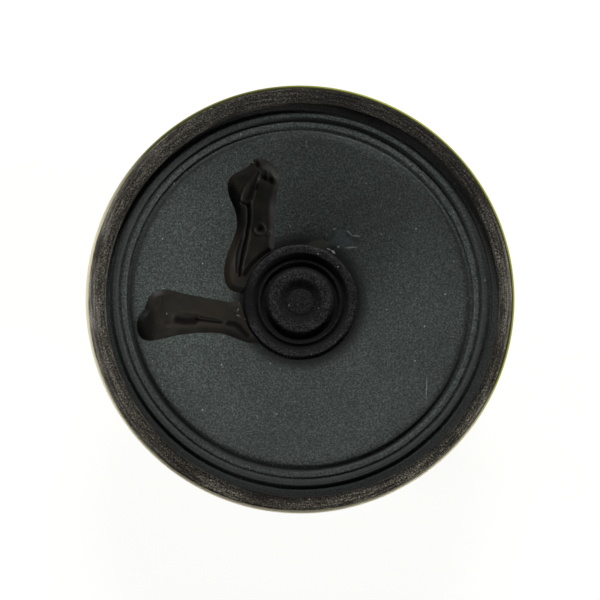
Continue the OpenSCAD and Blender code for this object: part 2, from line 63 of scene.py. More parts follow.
camera_tilt = 3.8
camera_distance = 450 * mm
view_width = 92.3 * mm
target = Vector((-0.005, -0.24, 25.4)) * mm
away = way_to(270, 90 - camera_tilt)
right = Vector((0, 1, 0)).cross(away).normalized()
bpy.ops.object.camera_add(location=target + camera_distance * away)
camera = bpy.context.object
camera.rotation_euler = Matrix((right, away.cross(right), away)).transposed().to_euler()
camera.data.lens = camera.data.sensor_width * camera_distance / view_width
bpy.context.scene.camera = camera
bpy.context.scene.view_settings.view_transform = "Standard"


# Room: a white light table under the driver, a soft lamp beyond the photograph's upper edge, a low
# one at each side, and a dim sky that is darkest overhead.
def linear(colour):
    """An sRGB hex colour as the linear colour that a shader takes."""
    parts = [int(colour[i:i + 2], 16) / 255 for i in (1, 3, 5)]
    return [p / 12.92 if p <= 0.04045 else ((p + 0.055) / 1.055) ** 2.4 for p in parts] + [1]


def add(material, kind, sockets=None, ramp=None, **settings):
    """Adds a shader node. A socket takes a value, another node's output, or another node, which
    gives its first output in use."""
    node = material.node_tree.nodes.new("ShaderNode" + kind)
    for name, value in settings.items():
        setattr(node, name, value)
    for name, value in (sockets or {}).items():
        if isinstance(value, bpy.types.Node):
            value = next(output for output in value.outputs if output.enabled)
        if isinstance(value, bpy.types.NodeSocket):
            material.node_tree.links.new(value, node.inputs[name])
        else:
            node.inputs[name].default_value = value
    for i, (place, colour) in enumerate(ramp or []):
        stops = node.color_ramp.elements
        stop = stops[i] if i < 2 else stops.new(place)
        stop.position = place
        stop.color = linear(colour)
    return node


def new_material(name):
    """An empty material with the real material's name, and the place that its patterns read."""
    material = bpy.data.materials.new(name)
    material.use_nodes = True
    material.node_tree.nodes.clear()
    return material, add(material, "TexCoord").outputs["Object"]


table_paper = new_material("white_table_paper")[0]
glow = add(table_paper, "Emission", {"Color": linear("#fbfbf9"), "Strength": 0.95})
matt = add(table_paper, "BsdfDiffuse", {"Color": linear("#595958")})
both = add(table_paper, "AddShader", {0: glow, 1: matt})
add(table_paper, "OutputMaterial", {"Surface": both})
table_size = 8
table_gap = 0.05 * mm
bpy.ops.mesh.primitive_plane_add(size=table_size, location=(0, 0, -table_gap))
table = bpy.context.object
table.name = "table"
table.data.materials.append(table_paper)

world = bpy.data.worlds.new("pale_room")
bpy.context.scene.world = world
world.use_nodes = True
world.node_tree.nodes.clear()
way = add(world, "TexCoord").outputs["Generated"]
height = add(world, "SeparateXYZ", {0: way}).outputs["Z"]
sky = add(world, "ValToRGB", {0: height},
          ramp=[(0.0, "#e3e6e8"), (1.0, "#3f4245"), (0.3, "#6b6e71")])
sky = add(world, "Background", {"Color": sky, "Strength": 0.45})
add(world, "OutputWorld", {"Surface": sky})

for lamp_name, side, rise, distance, size, power in (
    ("top_lamp", 86, 37, 1300 * mm, 440 * mm, 18.5),
    ("left_lamp", 158, 10, 900 * mm, 300 * mm, 9.5),
    ("right_lamp", -14, 10, 900 * mm, 300 * mm, 12),
):
    toward = way_to(side, rise)
    bpy.ops.object.light_add(type="AREA", location=distance * toward)
    lamp = bpy.context.object
    lamp.name = lamp_name
    lamp.rotation_euler = toward.to_track_quat("Z", "Y").to_euler()
    lamp.data.size = size
    lamp.data.energy = power


# Back plate and pole: bright zinc-plated mild steel, faced on a lathe. The pole's spigot is
# pressed into the plate and shows as a disc in its back.
def turn(name, line, steps=192):
    """A piece turned on the driver's axis, from its outline of radii and heights. An open sheet
    faces up."""
    bpy.ops.object.select_all(action="DESELECT")
    bpy.ops.mesh.primitive_plane_add(size=0.1 * mm, location=(line[0][0], 0, line[0][1]))
    piece = bpy.context.object
    piece.name = name
    bpy.ops.object.mode_set(mode="EDIT")
    bpy.ops.mesh.merge(type="CENTER")
    for (r0, z0), (r1, z1) in zip(line, line[1:]):
        bpy.ops.mesh.extrude_region_move(TRANSFORM_OT_translate={"value": (r1 - r0, 0, z1 - z0)})
    bpy.ops.mesh.select_all(action="SELECT")
    bpy.ops.mesh.spin(steps=steps, angle=2 * math.pi, center=(0, 0, 0), axis=(0, 0, 1))
    bpy.ops.mesh.select_all(action="SELECT")
    bpy.ops.mesh.remove_doubles(threshold=0.001 * mm)
    bpy.ops.mesh.normals_make_consistent(inside=False)
    bpy.ops.object.mode_set(mode="OBJECT")
    facing = sum(face.normal.z * face.area for face in piece.data.polygons)
    if facing < -mm ** 2:
        bpy.ops.object.mode_set(mode="EDIT")
        bpy.ops.mesh.flip_normals()
        bpy.ops.object.mode_set(mode="OBJECT")
    bpy.ops.object.transform_apply(location=True, rotation=True, scale=True)
    return piece


def pick(piece):
    """Selects a piece and nothing else, and makes it the active one."""
    bpy.ops.object.select_all(action="DESELECT")
    bpy.context.view_layer.objects.active = piece
    piece.select_set(True)


def change(piece, kind, **settings):
    """Gives a piece a modifier and applies it."""
    pick(piece)
    modifier = piece.modifiers.new(kind, kind)
    for name, value in settings.items():
        setattr(modifier, name, value)
    bpy.ops.object.modifier_apply(modifier=modifier.name)


def dress(piece, material, slot, body, *nodes, smooth=35):
    """Gives a finished piece its material and its place in the assembly."""
    pick(piece)
    bpy.ops.object.shade_smooth_by_angle(angle=math.radians(smooth))
    piece.data.materials.clear()
    piece.data.materials.append(material)
    if body:
        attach(piece, body)
    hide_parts(*nodes)


def reach(node):
    """A CAD node's least and greatest distance from the driver's axis."""
    radii = [v.co.xy.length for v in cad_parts[node].data.vertices]
    return min(radii), max(radii)


def arc(cx, cy, r, a0, a1, steps):
    """Points along an arc, its angles in degrees."""
    turns = [math.radians(a0 + (a1 - a0) * i / steps) for i in range(steps + 1)]
    return [(cx + r * math.cos(a), cy + r * math.sin(a)) for a in turns]


def plate_line(hole, r, z0, z1, edge):
    """The outline of a flat ring whose outer edges are rounded."""
    low = arc(r - edge, z0 + edge, edge, -90, 0, 3)
    high = arc(r - edge, z1 - edge, edge, 0, 90, 3)
    return [(hole, z0)] + low + high + [(hole, z1), (hole, z0)]


def axis_gap(material, place):
    """A place's distance from the driver's axis."""
    across = add(material, "VectorMath", {0: place, 1: (1, 1, 0)}, operation="MULTIPLY")
    return add(material, "VectorMath", {0: across}, operation="LENGTH")


def grooved(material, run, pitch):
    """A wave along a distance, with the pitch of its grooves."""
    turns = add(material, "Math", {0: run, 1: 2 * math.pi / pitch}, operation="MULTIPLY")
    return add(material, "Math", {0: turns}, operation="SINE")


def finish(material, tone, gloss, height=None, depth=0, strength=1, looks=None):
    """Ends a material with its shader: a colour, a roughness, the relief of a height, and what
    else the shader takes."""
    looks = {"Base Color": tone, "Roughness": gloss, **(looks or {})}
    if depth:
        looks["Normal"] = add(material, "Bump", {
            "Height": height, "Distance": depth, "Strength": strength})
    shader = add(material, "BsdfPrincipled", looks)
    add(material, "OutputMaterial", {"Surface": shader})


# Zinc plating on turned steel: fine rings from the tool, a cold white shine, dull spots.
zinc, place = new_material("bright_zinc_plated_steel")
tool_pitch = 0.16 * mm
rings = grooved(zinc, axis_gap(zinc, place), tool_pitch)
clouds = add(zinc, "TexNoise", {"Vector": place, "Scale": 1 / (2.5 * mm), "Detail": 4})
spots = add(zinc, "TexNoise", {"Vector": place, "Scale": 1 / (0.5 * mm), "Detail": 3})
tone = add(zinc, "ValToRGB", {0: clouds},
           ramp=[(0.3, "#8d9092"), (0.7, "#c3c5c6"), (0.55, "#adafb1")])
gloss = add(zinc, "MapRange", {0: spots, 3: 0.26, 4: 0.5})
finish(zinc, tone, gloss, rings, 0.004 * mm, 0.6, {"Metallic": 1})

low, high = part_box("back_plate")
spigot_r, back_plate_r = reach("back_plate")
plate_edge = 0.3 * mm
back_plate = turn(
    "back_plate_turned", plate_line(spigot_r, back_plate_r, low.z, high.z, plate_edge))
dress(back_plate, zinc, "plated_steel", "frame", "back_plate")

pole_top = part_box("pole_piece")[1].z
pole_r = reach("pole_piece")[1]
centre_drill = 0.7 * mm
spigot_z = low.z + 0.02 * mm
spigot_edge = 0.12 * mm
pole = turn("pole_piece_turned", [
    (0, low.z + centre_drill), (centre_drill, spigot_z), (spigot_r - spigot_edge, spigot_z),
    (spigot_r, spigot_z + spigot_edge), (spigot_r, high.z), (pole_r, high.z),
    (pole_r, pole_top - plate_edge), (pole_r - plate_edge, pole_top), (0, pole_top)])
dress(pole, zinc, "plated_steel", "frame", "pole_piece")


# Magnet: a ring of hard ferrite, pressed and fired. Its faces are ground flat, its round side is
# left as fired, and small chips are missing along its edges. Glue holds it between the plates.
def moved(piece, shift):
    """Moves each vertex of a piece by what shift gives for its place."""
    for vertex in piece.data.vertices:
        vertex.co += shift(vertex.co)
    piece.data.update()


def between(value):
    """A number held between 0 and 1."""
    return min(max(value, 0), 1)


def outward(place):
    """The level way from the driver's axis to a place."""
    return Vector((place.x, place.y, 0)) / max(place.xy.length, mm)


def darkened(material, tone, shade, share=1.0):
    """A colour multiplied by a grey."""
    return add(material, "Mix", {0: share, 6: tone, 7: shade}, data_type="RGBA",
               blend_type="MULTIPLY")


# Fired ferrite: charcoal grey with faint stains, nearly without shine, and full of fine pores.
ferrite, place = new_material("fired_hard_ferrite")
grains = add(ferrite, "TexNoise", {"Vector": place, "Scale": 1 / (0.22 * mm), "Detail": 5,
                                   "Roughness": 0.65})
stains = add(ferrite, "TexNoise", {"Vector": place, "Scale": 1 / (5 * mm), "Detail": 3})
tone = add(ferrite, "ValToRGB", {0: stains},
           ramp=[(0.3, "#26262a"), (0.72, "#403f42"), (0.5, "#323236")])
pores = add(ferrite, "ValToRGB", {0: grains}, ramp=[(0.34, "#8c8c8c"), (0.5, "#ffffff")])
tone = darkened(ferrite, tone, pores)
finish(ferrite, tone, 0.55, grains, 0.05 * mm, 0.7, {"IOR": 1.75})

low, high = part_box("magnet_ring")
magnet_hole_r, magnet_r = reach("magnet_ring")
magnet_edge = 0.5 * mm
rise = high.z - low.z
side_rows = 14
line = plate_line(magnet_hole_r, magnet_r, low.z, high.z, magnet_edge)
side = [(magnet_r, low.z + magnet_edge + (rise - 2 * magnet_edge) * i / side_rows)
        for i in range(1, side_rows)]
magnet = turn("magnet_ring_fired", line[:5] + side + line[5:], 360)
chip_depth = 0.35 * mm
chip_reach = 1.3 * mm
chip_gap = 1.5 * mm
chip_least = 0.22
wave_depth = 0.03 * mm
wave_gap = 6 * mm


def chipped(place):
    """Chips along the ring's two outer edges, and the faint waviness of its fired side."""
    if place.xy.length < magnet_r - 1.2 * mm:
        return Vector((0, 0, 0))
    edge_near = max(0, 1 - min(place.z - low.z, high.z - place.z) / chip_reach)
    wave = wave_depth * noise.noise(place / wave_gap)
    bite = chip_depth * between((noise.noise(place / chip_gap) - chip_least) * 3) * edge_near
    level = Vector((0, 0, 1 if place.z < (low.z + high.z) / 2 else -1))
    return level * bite * 0.6 - outward(place) * (bite + abs(wave))


moved(magnet, chipped)
dress(magnet, ferrite, "ferrite", "frame", "magnet_ring", smooth=50)

# Top plate: zinc-plated mild steel like the back plate. Its bore is the outside of the magnetic
# gap, and four rivets clench the basket on it.
low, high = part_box("top_plate")
bore_r, top_plate_r = reach("top_plate")
top_plate = turn("top_plate_turned", plate_line(bore_r, top_plate_r, low.z, high.z, plate_edge))
dress(top_plate, zinc, "plated_steel", "frame", "top_plate")


# Basket: one pressing of 0.5 mm steel sheet, zinc-plated and yellow-passivated. From the middle:
# flat seat, cup wall, spider ledge, sloping wall with four windows, flange and turned-up lip.
def rounded(points, radii, steps=5):
    """A line of radii and heights whose inner corners are rounded to the given radii."""
    line = [points[0]]
    for before, corner, after, radius in zip(points, points[1:], points[2:], radii):
        back = (Vector(before) - Vector(corner)).normalized()
        on = (Vector(after) - Vector(corner)).normalized()
        half = back.angle(on) / 2
        middle = Vector(corner) + (back + on).normalized() * radius / math.sin(half)
        start = Vector(corner) + back * radius / math.tan(half) - middle
        end = Vector(corner) + on * radius / math.tan(half) - middle
        turn_by = math.atan2(start.cross(end), start.dot(end))
        for i in range(steps + 1):
            a = turn_by * i / steps
            line.append((
                middle.x + start.x * math.cos(a) - start.y * math.sin(a),
                middle.y + start.x * math.sin(a) + start.y * math.cos(a)))
    return line + [points[-1]]


def prism(name, outline, z0, z1):
    """A straight prism with the given outline."""
    bpy.ops.object.select_all(action="DESELECT")
    bpy.ops.mesh.primitive_circle_add(vertices=len(outline), radius=mm, fill_type="NGON",
                                      location=(0, 0, 0))
    piece = bpy.context.object
    piece.name = name
    for vertex, (x, y) in zip(piece.data.vertices, outline):
        vertex.co = (x, y, z0)
    bpy.ops.object.mode_set(mode="EDIT")
    bpy.ops.mesh.select_all(action="SELECT")
    bpy.ops.mesh.extrude_region_move(TRANSFORM_OT_translate={"value": (0, 0, z1 - z0)})
    bpy.ops.mesh.select_all(action="SELECT")
    bpy.ops.mesh.normals_make_consistent(inside=False)
    bpy.ops.object.mode_set(mode="OBJECT")
    return piece


def fading(material, place, way, start, end, low=0, high=1):
    """A number that changes along a way over the driver, between two distances in mm."""
    along = add(material, "VectorMath", {0: place, 1: way}, operation="DOT_PRODUCT")
    return add(material, "MapRange", {0: along, 1: start * mm, 2: end * mm, 3: low, 4: high})


# Yellow passivate: a thin iridescent film, straw and lime with touches of olive and pink.
yellow, place = new_material("yellow_passivated_zinc_on_steel")
film = add(yellow, "TexNoise", {"Vector": place, "Scale": 1 / (7 * mm), "Detail": 3,
                                "Distortion": 0.8})
tone = add(yellow, "ValToRGB", {0: film},
           ramp=[(0.25, "#8f8a4e"), (0.75, "#cfb98c"), (0.42, "#b9ad69"), (0.58, "#cdbf80")])
stains = add(yellow, "TexNoise", {"Vector": place, "Scale": 1 / (1.1 * mm), "Detail": 5,
                                  "Roughness": 0.7})
dark = add(yellow, "ValToRGB", {0: stains}, ramp=[(0.3, "#8d8574"), (0.46, "#ffffff")])
tone = darkened(yellow, tone, dark, 0.6)
# On the lip the colour is painted reflection: cream towards the lower left, where it reflects the
# white table, dark olive towards the upper right, and a painted lime highlight along its outer
# edge that fades towards the upper left.
on_lip = fading(yellow, place, (0, 0, 1), 24.7, 25.1)
toward_dark_side = fading(yellow, place, (0.55, 0.83, 0), -10, 6)
painted_edge_highlight = add(yellow, "MapRange", {
    0: axis_gap(yellow, place), 1: 32.7 * mm, 2: 32.85 * mm, 4: 0.8})
highlight_fade = fading(yellow, place, (-0.8, 0.6, 0), 8, 24, 1, 0.35)
painted_edge_highlight = add(yellow, "Math", {0: painted_edge_highlight, 1: highlight_fade}, operation="MULTIPLY")
dark_side_and_highlight = add(yellow, "Mix", {0: painted_edge_highlight, 6: linear("#3a3c1c"), 7: linear("#b4b64f")},
           data_type="RGBA")
painted_lip_reflection = add(yellow, "Mix", {0: toward_dark_side, 6: linear("#f4ebca"), 7: dark_side_and_highlight}, data_type="RGBA")
tone = add(yellow, "Mix", {0: on_lip, 6: tone, 7: painted_lip_reflection}, data_type="RGBA")
shine = add(yellow, "MapRange", {0: on_lip, 3: 1, 4: 0.25})
gloss = add(yellow, "MapRange", {0: stains, 3: 0.5, 4: 0.28})
skin = add(yellow, "TexNoise", {"Vector": place, "Scale": 1 / (0.35 * mm), "Detail": 2})
finish(yellow, tone, gloss, skin, 0.012 * mm, 0.5, {"Metallic": shine})

low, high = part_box("basket")
seat_hole_r, rim_r = reach("basket")
sheet = 0.5 * mm
seat_r = 11.4 * mm
ledge_in_r = 12.3 * mm
ledge_out_r = 15.6 * mm
ledge_z = low.z + sheet + 2.9 * mm
flange_in_r = 28.89 * mm
flange_z = ledge_z + 9.6 * mm
cup_mitre = sheet * math.tan(math.atan2(ledge_z - low.z - sheet, ledge_in_r - seat_r) / 2) / 2
wall_angle = math.atan2(flange_z - ledge_z, flange_in_r - ledge_out_r)
wall_mitre = sheet * math.tan(wall_angle / 2) / 2
mid = sheet / 2
basket = turn("basket_pressed", rounded([
    (seat_hole_r, low.z + mid), (seat_r + cup_mitre, low.z + mid),
    (ledge_in_r + cup_mitre, ledge_z - mid), (ledge_out_r + wall_mitre, ledge_z - mid),
    (flange_in_r + wall_mitre, flange_z - mid), (rim_r - mid, flange_z - mid),
    (rim_r - mid, high.z),
], [0.55 * mm, 0.6 * mm, 0.9 * mm, 0.8 * mm, 0.32 * mm]), 360)
change(basket, "SOLIDIFY", thickness=sheet, offset=0, use_even_offset=True)

spoke_w = 8 * mm
window_margin = 1.3 * mm
corner = 1.5 * mm
in_r = ledge_out_r + window_margin
out_r = flange_in_r - window_margin
out_a = 45 - math.degrees(math.asin((spoke_w / 2 + corner) / (out_r - corner)))
in_a = 45 - math.degrees(math.asin((spoke_w / 2 + corner) / (in_r + corner)))
out_x, out_y = arc(0, 0, out_r - corner, out_a, out_a, 1)[0]
in_x, in_y = arc(0, 0, in_r + corner, in_a, in_a, 1)[0]
window = (
    arc(0, 0, out_r, -out_a, out_a, 24) + arc(out_x, out_y, corner, out_a, 135, 8)[1:]
    + arc(in_x, in_y, corner, 135, 180 + in_a, 8) + arc(0, 0, in_r, in_a, -in_a, 14)[1:]
    + arc(in_x, -in_y, corner, 180 - in_a, 225, 8)[1:]
    + arc(out_x, -out_y, corner, 225, 360 - out_a, 8)[:-1])
for quarter in range(4):
    spin = Matrix.Rotation(math.pi / 2 * quarter, 2)
    punch = prism("punch", [tuple(spin @ Vector(p)) for p in window], ledge_z - mm, flange_z + mm)
    change(basket, "BOOLEAN", object=punch, operation="DIFFERENCE", solver="EXACT")
    bpy.data.objects.remove(punch, do_unlink=True)
change(basket, "BEVEL", width=0.07 * mm, segments=2, limit_method="ANGLE",
       angle_limit=math.radians(55))
dress(basket, yellow, "zinc_steel", "frame", "basket", smooth=32)


# Rivets: four plated steel rivets through the basket's seat, clenched under the top plate.
def copy_of(node, name, edge=0):
    """A copy of a CAD node's mesh, welded, with its sharp edges broken."""
    piece = bpy.data.objects.new(name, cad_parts[node].data.copy())
    bpy.context.scene.collection.objects.link(piece)
    pick(piece)
    bpy.ops.object.mode_set(mode="EDIT")
    bpy.ops.mesh.select_all(action="SELECT")
    bpy.ops.mesh.remove_doubles(threshold=0.001 * mm)
    bpy.ops.mesh.dissolve_limited(angle_limit=math.radians(1))
    bpy.ops.object.mode_set(mode="OBJECT")
    if edge:
        change(piece, "BEVEL", width=edge, segments=2, limit_method="ANGLE",
               angle_limit=math.radians(35))
    return piece


def dressed_copy(node, made, edge, material, slot, body):
    """A finished piece with its CAD node's shape, named for the node and for how it was made."""
    dress(copy_of(node, node + "_" + made, edge), material, slot, body, node)


dressed_copy("plate_rivets", "clenched", 0.08 * mm, yellow, "zinc_steel", "frame")


# Spider: a disc of open cotton cloth, stiffened with resin and pressed hot into ripples. It is
# glued to the former and on the basket's ledge, and flexes between the two.
def flexing(piece):
    """Bakes a piece's placement into its mesh."""
    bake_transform(piece)


# Resined cotton: amber brown, with raised threads and dark holes between them.
cloth, place = new_material("resin_stiffened_cotton_cloth")
thread_gap = 0.42 * mm
axes = add(cloth, "SeparateXYZ", {0: place})
threads = [grooved(cloth, axes.outputs[axis], thread_gap) for axis in ("X", "Y")]
weave = add(cloth, "Math", {0: threads[0], 1: threads[1]}, operation="MAXIMUM")
slubs = add(cloth, "TexNoise", {"Vector": place, "Scale": 1 / (1.3 * mm), "Detail": 3})
tone = add(cloth, "ValToRGB", {0: slubs}, ramp=[(0.3, "#7f5a2b"), (0.7, "#b58f52")])
holes = add(cloth, "ValToRGB", {0: weave}, ramp=[(0.0, "#5c4a33"), (0.55, "#ffffff")])
finish(cloth, darkened(cloth, tone, holes, 0.85), 0.62, weave, 0.06 * mm)

former_out_r = reach("voice_coil_former")[1]
low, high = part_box("spider")
spider_out_r = reach("spider")[1]
cloth_t = 0.3 * mm
ripple_h = (high.z - low.z - cloth_t) / 2
ripples = 3
ripple_in = former_out_r + 0.6 * mm
ripple_out = ledge_in_r + 0.15 * mm
middle = (low.z + high.z) / 2
steps = 16 * ripples
waves = [
    (ripple_in + (ripple_out - ripple_in) * i / steps,
     middle - ripple_h * math.sin(2 * math.pi * ripples * i / steps))
    for i in range(steps + 1)]
spider = turn("spider_pressed", [(former_out_r, middle)] + waves + [(spider_out_r, middle)], 240)
change(spider, "SOLIDIFY", thickness=cloth_t, offset=0, use_even_offset=False)
flexing(spider)
dress(spider, cloth, "spider_cloth", None, "spider", smooth=60)

# Voice coil: a tube of varnished kraft paper that carries the winding of enamelled copper wire in
# the magnetic gap. Both are glued, and a fillet of cement joins the tube to the cone's neck.
# Varnished kraft: pale brown and a little glossy, mottled by its pulp.
kraft, place = new_material("varnished_kraft_paper")
pulp = add(kraft, "TexNoise", {"Vector": place, "Scale": 1 / (0.5 * mm), "Detail": 4})
finish(kraft, add(kraft, "ValToRGB", {0: pulp}, ramp=[(0.3, "#8a6a40"), (0.7, "#b08f5e")]), 0.4)
dressed_copy("voice_coil_former", "rolled", 0, kraft, "former_paper", "cone_assembly")

# Enamelled copper: warm metal under clear varnish, with a ridge for each turn of wire.
copper, place = new_material("enamelled_copper_wire")
wire_d = 0.13 * mm
turns = grooved(copper, add(copper, "SeparateXYZ", {0: place}).outputs["Z"], wire_d)
shade = add(copper, "ValToRGB", {0: turns}, ramp=[(0.0, "#8a4a22"), (1.0, "#c5763a")])
finish(copper, shade, 0.3, turns, 0.03 * mm, 1,
       {"Metallic": 1, "Coat Weight": 0.6, "Coat Roughness": 0.15})
dressed_copy("voice_coil_winding", "wound", 0.05 * mm, copper, "copper", "cone_assembly")


# Cone: pulp felted on a wire form, dyed blue-black and faded to slate. The front is soft and full
# of short fibres, and dust sits in it.
def cone_front(r):
    """Height of the cone's front at a radius."""
    s = (r - former_out_r) / (cone_edge_r - former_out_r)
    return neck_z + (cone_edge_z - neck_z) * s + 4 * cone_bulge * s * (1 - s)


def felted(material, place, dark, body, light, fibre, dust):
    """The tone and height of felted paper: a mottle of pulp, pale fibres and specks of dust."""
    pulp = add(material, "TexNoise", {"Vector": place, "Scale": 1 / (0.27 * mm), "Detail": 3,
                                      "Roughness": 0.7})
    tone = add(material, "ValToRGB", {0: pulp}, ramp=[(0.33, dark), (0.68, light), (0.5, body)])
    drift = add(material, "TexNoise", {"Vector": place, "Scale": 1 / (9 * mm), "Detail": 3})
    drift = add(material, "ValToRGB", {0: drift}, ramp=[(0.3, "#dadada"), (0.7, "#ffffff")])
    tone = darkened(material, tone, drift, 0.8)
    curls = add(material, "TexNoise", {"Vector": place, "Scale": 1 / (1.5 * mm), "Detail": 1,
                                       "Distortion": 0.6})
    curls = add(material, "Math", {0: curls, 1: 0.5}, operation="SUBTRACT")
    curls = add(material, "Math", {0: curls}, operation="ABSOLUTE")
    curls = add(material, "MapRange", {0: curls, 2: 0.008, 3: 1, 4: 0})
    patch = add(material, "TexNoise", {"Vector": place, "Scale": 1 / (0.9 * mm), "Detail": 0})
    patch = add(material, "MapRange", {0: patch, 1: 0.6, 2: 0.66})
    curls = add(material, "Math", {0: curls, 1: patch}, operation="MULTIPLY")
    tone = add(material, "Mix", {0: curls, 6: tone, 7: linear(fibre)}, data_type="RGBA")
    specks = add(material, "TexVoronoi", {"Vector": place, "Scale": 1 / (1.5 * mm)})
    chance = add(material, "SeparateColor", {0: specks.outputs["Color"]})
    size = add(material, "MapRange", {0: chance, 1: 0.45, 4: 0.1})
    specks = add(material, "Math", {0: specks, 1: size}, operation="LESS_THAN")
    tone = add(material, "Mix", {0: specks, 6: tone, 7: linear(dust)}, data_type="RGBA")
    return tone, add(material, "Math", {0: pulp, 1: curls}, operation="ADD")


def by_radius(material, place, stops):
    """A grey that depends on the distance from the driver's axis, from radii in mm and greys."""
    least, most = stops[0][0], stops[-1][0]
    share = add(material, "MapRange", {
        0: axis_gap(material, place), 1: least * mm, 2: most * mm})
    ends = [stops[0], stops[-1]] + stops[1:-1]
    ramp = [((r - least) / (most - least), "#" + 3 * f"{round(grey * 255):02x}")
            for r, grey in ends]
    return add(material, "ValToRGB", {0: share}, ramp=ramp)


def with_ovals(material, place, tone, stains):
    """A colour with oval marks on it: stains, smears, crumbs, lint and painted glints. A mark is
    its colour, its cover, its place and half sizes in mm, and its turn in degrees."""
    ragged = add(material, "TexNoise", {"Vector": place, "Scale": 1 / (0.3 * mm), "Detail": 2})
    for colour, cover, x, y, long, wide, turned in stains:
        oval = add(material, "Mapping", {
            "Vector": place, "Location": (x * mm, y * mm, 0),
            "Rotation": (0, 0, math.radians(turned)), "Scale": (long * mm, wide * mm, 1)},
            vector_type="TEXTURE")
        gap = add(material, "VectorMath", {0: oval}, operation="LENGTH")
        gap = add(material, "Math", {0: ragged, 1: 0.9, 2: gap}, operation="MULTIPLY_ADD")
        share = add(material, "MapRange", {0: gap, 1: 1.65, 2: 1.15, 4: cover})
        tone = add(material, "Mix", {0: share, 6: tone, 7: linear(colour)}, data_type="RGBA")
    return tone


low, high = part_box("cone")
cone_edge_r = reach("cone")[1]
cone_edge_z = high.z
cone_bulge = 0.4 * mm
cad_paper = 0.4 * mm
cone_fall, cone_run = 8 * mm, 19.58 * mm
neck_z = low.z + cad_paper / math.cos(math.atan2(cone_fall, cone_run))
paper_t = 0.34 * mm
roll_r = cone_edge_r - 0.8 * mm
roll_drop = 0.9 * mm
cap_r = reach("dust_cap")[1]

# Painted shade darkens it round the dust cap's glued rim and where the edge rolls down, and
# makes it darker towards the top; painted light makes it lighter towards the upper left and
# darker towards the lower right. Beside the cap are crumbs of pulp and smears of clear glue, and
# lower down a fine scratch.
slate, place = new_material("felted_paper_pulp")
tone, height = felted(slate, place, "#171b1a", "#303734", "#525855", "#5a615e", "#7f8484")
# Painted shade round the cap's rim and on the rolled-down edge.
painted_shade = by_radius(slate, place, [
    (9, 0.15), (9.6, 0.34), (10.2, 0.64), (11, 0.92), (12.5, 1), (20, 1), (24, 0.96), (25.4, 0.93),
    (26, 0.6)])
tone = darkened(slate, tone, painted_shade)
# Painted shade, darker towards the top, and painted light, lighter towards the upper left.
tone = darkened(slate, tone, fading(slate, place, (0.3, 0.95, 0), 4, 20, 1, 0.72))
tone = darkened(slate, tone, fading(slate, place, (-0.45, 0.9, 0), -18, 17, 0.87, 1.2))
tone = with_ovals(slate, place, tone, [
    ("#4b4943", 0.45, 3, 9, 1.9, 0.7, 0), ("#3c4848", 0.4, 6.6, 9.7, 2, 1.3, -15),
    ("#1f2625", 0.9, 7.5, 10.3, 0.6, 0.22, -45), ("#1f2624", 0.9, 8.7, 9.6, 0.9, 0.3, -18),
    ("#1f2827", 0.85, 5.1, 10.4, 0.32, 0.7, -20), ("#7c8482", 0.6, 7.7, 10.7, 0.55, 0.1, -42),
    ("#7c8482", 0.6, 8.8, 10.2, 0.65, 0.1, -6), ("#7c8482", 0.7, 5.4, 11.3, 0.2, 0.13, 0),
    ("#7d8583", 0.65, 8, 8.45, 0.9, 0.13, 0), ("#8a908e", 1, 6, 8.6, 0.15, 0.12, 0),
    ("#a39c92", 1, 1.3, 8.4, 0.34, 0.15, 65), ("#858987", 0.9, 4.5, 8.25, 0.36, 0.13, -22),
    ("#b4b6b4", 0.9, 5.2, 7.85, 0.34, 0.16, -40), ("#6d7573", 0.6, 19.5, -13.7, 0.07, 1.9, -3)])
finish(slate, tone, 0.9, height, 0.07 * mm, 0.8,
       {"Sheen Weight": 0.1, "Sheen Roughness": 0.5, "Specular IOR Level": 0.3})

rows = 52
line = []
for i in range(rows + 1):
    r = former_out_r + (cone_edge_r - former_out_r) * i / rows
    line.append((r, cone_front(r) - roll_drop * (max(r - roll_r, 0) / mm) ** 2))
cone = turn("cone_felted", line, 320)


def wideness(place):
    """1 where the cone's slightly oval edge is widest, and -1 where it is narrowest."""
    x, y = place.xy
    return (0.56 * (x * x - y * y) - 1.65 * x * y) / (x * x + y * y)


oval_from_r = 22 * mm
oval_full_r = 25 * mm


def pressed_oval(place):
    """How far out a place lies because the edge is oval."""
    share = between((place.xy.length - oval_from_r) / (oval_full_r - oval_from_r))
    return outward(place) * (0.05 + 0.17 * wideness(place)) * mm * share


def warped(place):
    """The slight unevenness of a felted cone, whose edge rolls down later where it is widest."""
    on_roll = max(1 - abs(place.xy.length - 25.45 * mm) / (0.55 * mm), 0)
    late = 0.16 * mm * (1 + wideness(place)) * on_roll
    wavy = Vector((0, 0, 0.05 * mm * noise.noise(place / (7 * mm))))
    return pressed_oval(place) + outward(place) * late + wavy


moved(cone, warped)
change(cone, "SOLIDIFY", thickness=paper_t, offset=-1)
dress(cone, slate, "cone_paper", "cone_assembly", "cone")

# Pleated edge: the cone's paper, pressed thin into two round pleats and doped, with a flat landing
# that is glued on the flange. It flexes between cone and flange.
def smooth_line(knots, steps):
    """A line through knots, level at each of them."""
    line = []
    for (r0, z0), (r1, z1) in zip(knots, knots[1:]):
        for i in range(steps):
            s = i / steps
            line.append((r0 + (r1 - r0) * s, z0 + (z1 - z0) * (1 - math.cos(math.pi * s)) / 2))
    return line + [knots[-1]]


